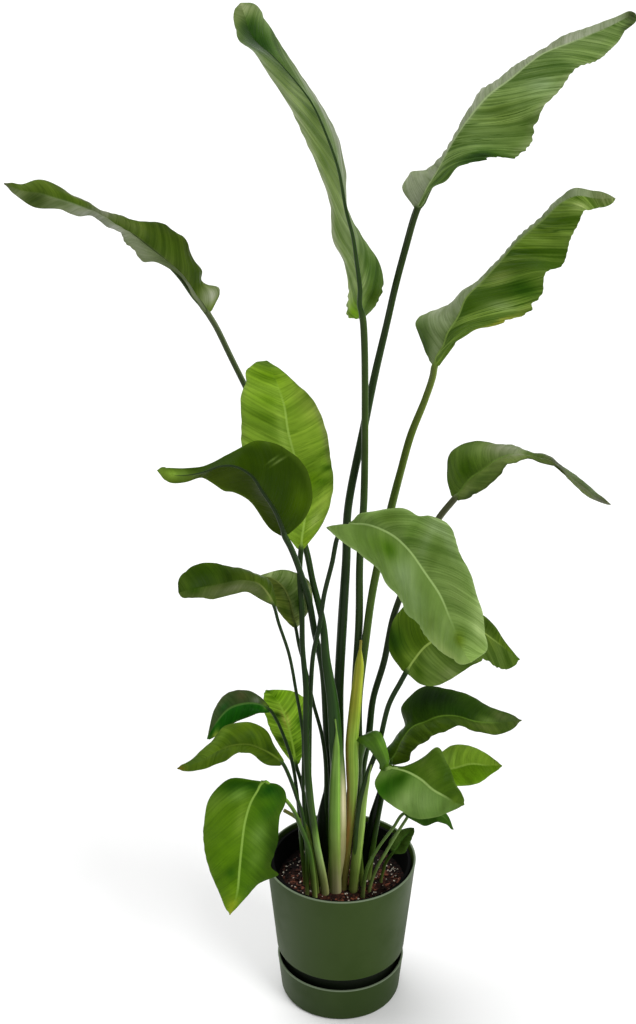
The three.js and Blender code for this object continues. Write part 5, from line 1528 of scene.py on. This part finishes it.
def soilMaterial(name):
    material, tree, shader = newMaterial(name, soil["gloss"])
    place = objectNode(tree)
    lump, crumb = (patchyNode(tree, place, *soil[kind]) for kind in ("lump", "crumb"))
    colour = mixNode(tree, lump, screenColour(*soil["dark"]), screenColour(*soil["red"]))
    colour = mixNode(tree, timesNode(tree, crumb, soil["crumbShare"]), colour, screenColour(*soil["pit"]))
    relief = mathNode(tree, "ADD", lump, crumb)
    finishShader(tree, shader, paintedSoilShade(tree, place, colour), soil["roughness"], relief, soil["bump"])
    return material


def makeSoil():
    def spot(across, along):
        # a square grid drawn out to a round one
        a, b = across * 2 - 1, along * 2 - 1
        if a == 0 and b == 0:
            x = y = 0
        elif abs(a) > abs(b):
            x, y = a * math.cos(math.pi / 4 * b / a), a * math.sin(math.pi / 4 * b / a)
        else:
            x, y = b * math.sin(math.pi / 4 * a / b), b * math.cos(math.pi / 4 * a / b)
        x, y = x * soil["radius"], y * soil["radius"]
        return Vector((x, y, soilHeight(x, y))) * mm, (across, along), (x * mm, y * mm)

    bed = shapedGrid("soilBed", soil["grid"], soil["grid"], spot)
    topCount = len(bed.data.vertices)
    finishModifier(bed, "SOLIDIFY", thickness=5 * mm, offset=-1)
    # the lower side is drawn down to a flat bottom, narrower than the top
    for vertex, above in zip(bed.data.vertices[topCount:], bed.data.vertices[:topCount]):
        x, y = above.co.x * soil["bottomShare"], above.co.y * soil["bottomShare"]
        vertex.co = (x, y, (soil["edge"] - soil["depth"]) * mm)
    smoothShade(soil["smoothUnder"])
    bed.data.materials.append(soilMaterial("soilMix"))
    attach(bed, "root")
    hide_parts("soil")


makeSoil()

# bits strewn on the soil: how many, their sizes in millimetres, how thick for their size, two colours
perlite = {
    "count": 230, "sizes": (1.6, 3.8), "flat": 0.8, "seed": 7, "shapeSeed": 3, "takesSoilShade": False,
    "colours": ((214, 206, 190), (168, 158, 142)), "roughness": 0.8, "patches": 300.0,
}
barkChips = {
    "count": 330, "sizes": (2.5, 6), "flat": 0.35, "seed": 11, "takesSoilShade": True,
    "colours": ((130, 72, 48), (70, 36, 26)), "roughness": 0.85, "patches": 160.0,
}
darkCrumbs = {
    "count": 380, "sizes": (2, 5.5), "flat": 0.8, "seed": 19, "shapeSeed": 8, "takesSoilShade": True,
    "colours": ((44, 26, 20), (24, 15, 12)), "roughness": 0.95, "patches": 220.0,
}
strewn = {
    "margin": 6, "tilt": 0.6, "long": (0.8, 1.5), "thick": (0.7, 1.1), "lift": 0.25,
    "gloss": 0.3, "patches": (3.0, 0.35, 0.65), "bump": (0.5, 0.0005),
    "pebbleRadius": 0.5, "pebbleRough": 0.45, "pebbleLumps": 2,
    "chipBevel": 0.18, "chipRough": 0.16, "chipLumps": 3, "chipShifts": (0, 7.3, 13.9),
}


def bitMaterial(name, plan):
    material, tree, shader = newMaterial(name, strewn["gloss"])
    place = objectNode(tree)
    patch = patchyNode(tree, place, plan["patches"], *strewn["patches"])
    first, second = plan["colours"]
    colour = mixNode(tree, patch, screenColour(*first), screenColour(*second))
    # bits behind the stalks or at the left get the soil's painted shade
    if plan["takesSoilShade"]:
        colour = paintedSoilShade(tree, place, colour)
    finishShader(tree, shader, colour, plan["roughness"], patch, strewn["bump"])
    return material


def roughPebble(seed):
    bpy.ops.object.select_all(action="DESELECT")
    bpy.ops.mesh.primitive_ico_sphere_add(subdivisions=1, radius=strewn["pebbleRadius"] * mm)
    pebble = bpy.context.object
    for vertex in pebble.data.vertices:
        place = vertex.co / mm * strewn["pebbleLumps"] + Vector((seed, 0, 0))
        vertex.co *= 1 + strewn["pebbleRough"] * noise.noise(place)
    return pebble


def barkChip():
    bpy.ops.object.select_all(action="DESELECT")
    bpy.ops.mesh.primitive_cube_add(size=1 * mm)
    chip = bpy.context.object
    finishModifier(chip, "BEVEL", width=strewn["chipBevel"] * mm, segments=1)
    for vertex in chip.data.vertices:
        place = vertex.co / mm * strewn["chipLumps"]
        shove = [noise.noise(place + Vector((shift, 0, 0))) for shift in strewn["chipShifts"]]
        vertex.co += Vector(shove) * strewn["chipRough"] * mm
    return chip


def isClearOfStalks(x, y, gap):
    return all(math.hypot(x - plan["foot"][0], y - plan["foot"][1]) > plan["foot"][2] + gap for plan in standing)


def scatterBits(name, first, plan, material):
    # copies of one small piece, each with its own turn, tilt and shape
    draw = random.Random(plan["seed"])
    flat = plan["flat"]
    copies = []
    while len(copies) < plan["count"]:
        angle, radius = draw.uniform(0, 2 * math.pi), math.sqrt(draw.random()) * (soil["radius"] - strewn["margin"])
        x, y = radius * math.cos(angle), radius * math.sin(angle)
        size = draw.uniform(*plan["sizes"])
        if not isClearOfStalks(x, y, size):
            continue
        turn = Matrix.Rotation(draw.uniform(0, 2 * math.pi), 4, "Z")
        tilt = Matrix.Rotation(draw.uniform(-strewn["tilt"], strewn["tilt"]), 4, "X")
        long, thick = draw.uniform(*strewn["long"]), draw.uniform(*strewn["thick"])
        stretch = Matrix.Diagonal((size * long, size, size * flat * thick, 1))
        lift = Matrix.Translation((x * mm, y * mm, (soilHeight(x, y) + strewn["lift"] * size * flat) * mm))
        copy = first.copy()
        copy.data = first.data.copy()
        copy.data.transform(lift @ (turn @ tilt) @ stretch)
        bpy.context.collection.objects.link(copy)
        copies.append(copy)
    bpy.data.objects.remove(first)
    bits = joinPieces(name, copies)
    bits.data.materials.clear()
    bits.data.materials.append(material)
    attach(bits, "root")


scatterBits("perlite", roughPebble(perlite["shapeSeed"]), perlite, bitMaterial("perliteGrain", perlite))
scatterBits("barkChips", barkChip(), barkChips, bitMaterial("barkBrown", barkChips))
scatterBits("darkCrumbs", roughPebble(darkCrumbs["shapeSeed"]), darkCrumbs, bitMaterial("peatCrumb", darkCrumbs))
print("soil made")


# studio: pale floor, soft light, camera

studio = {
    "cameraPlace": (-0.037, -2.42, 2.03), "cameraTilt": 64.3, "lens": 64.7, "frameSide": 36,
    "floorSize": 40, "floorColour": (0.86, 0.86, 0.86, 1), "floorRoughness": 0.9, "floorGloss": 0.2,
    "worldColour": (1, 1, 1, 1), "worldLight": 0.4, "lampHeight": 4,
    "lamps": {  # tilt and turn in degrees, strength, spread
        "keyLamp": (52, 45, 1.9, 30), "overheadLamp": (28, 225, 2.3, 60),
    },
}


def makeStudio(plan):
    bpy.ops.object.select_all(action="DESELECT")
    bpy.ops.mesh.primitive_plane_add(size=plan["floorSize"], location=(0, 0, 0))
    floor = bpy.context.object
    floor.name = "studioFloor"
    material, _, shader = newMaterial("floorPaper", plan["floorGloss"])
    shader.inputs["Base Color"].default_value = plan["floorColour"]
    shader.inputs["Roughness"].default_value = plan["floorRoughness"]
    floor.data.materials.append(material)

    world = bpy.data.worlds.new("studioWorld")
    world.use_nodes = True
    background = world.node_tree.nodes["Background"]
    background.inputs["Color"].default_value = plan["worldColour"]
    background.inputs["Strength"].default_value = plan["worldLight"]
    bpy.context.scene.world = world

    for name, (tilt, turn, strength, spread) in plan["lamps"].items():
        bpy.ops.object.light_add(
            type="SUN", location=(0, 0, plan["lampHeight"]), rotation=(math.radians(tilt), 0, math.radians(turn)))
        lamp = bpy.context.object
        lamp.name = name
        lamp.data.energy = strength
        lamp.data.angle = math.radians(spread)

    bpy.ops.object.camera_add(location=plan["cameraPlace"], rotation=(math.radians(plan["cameraTilt"]), 0, 0))
    camera = bpy.context.object
    camera.data.sensor_fit = "VERTICAL"
    camera.data.sensor_height = plan["frameSide"]
    camera.data.lens = plan["lens"]
    bpy.context.scene.camera = camera
    bpy.context.scene.view_settings.view_transform = "Standard"


makeStudio(studio)
print("studio set up")
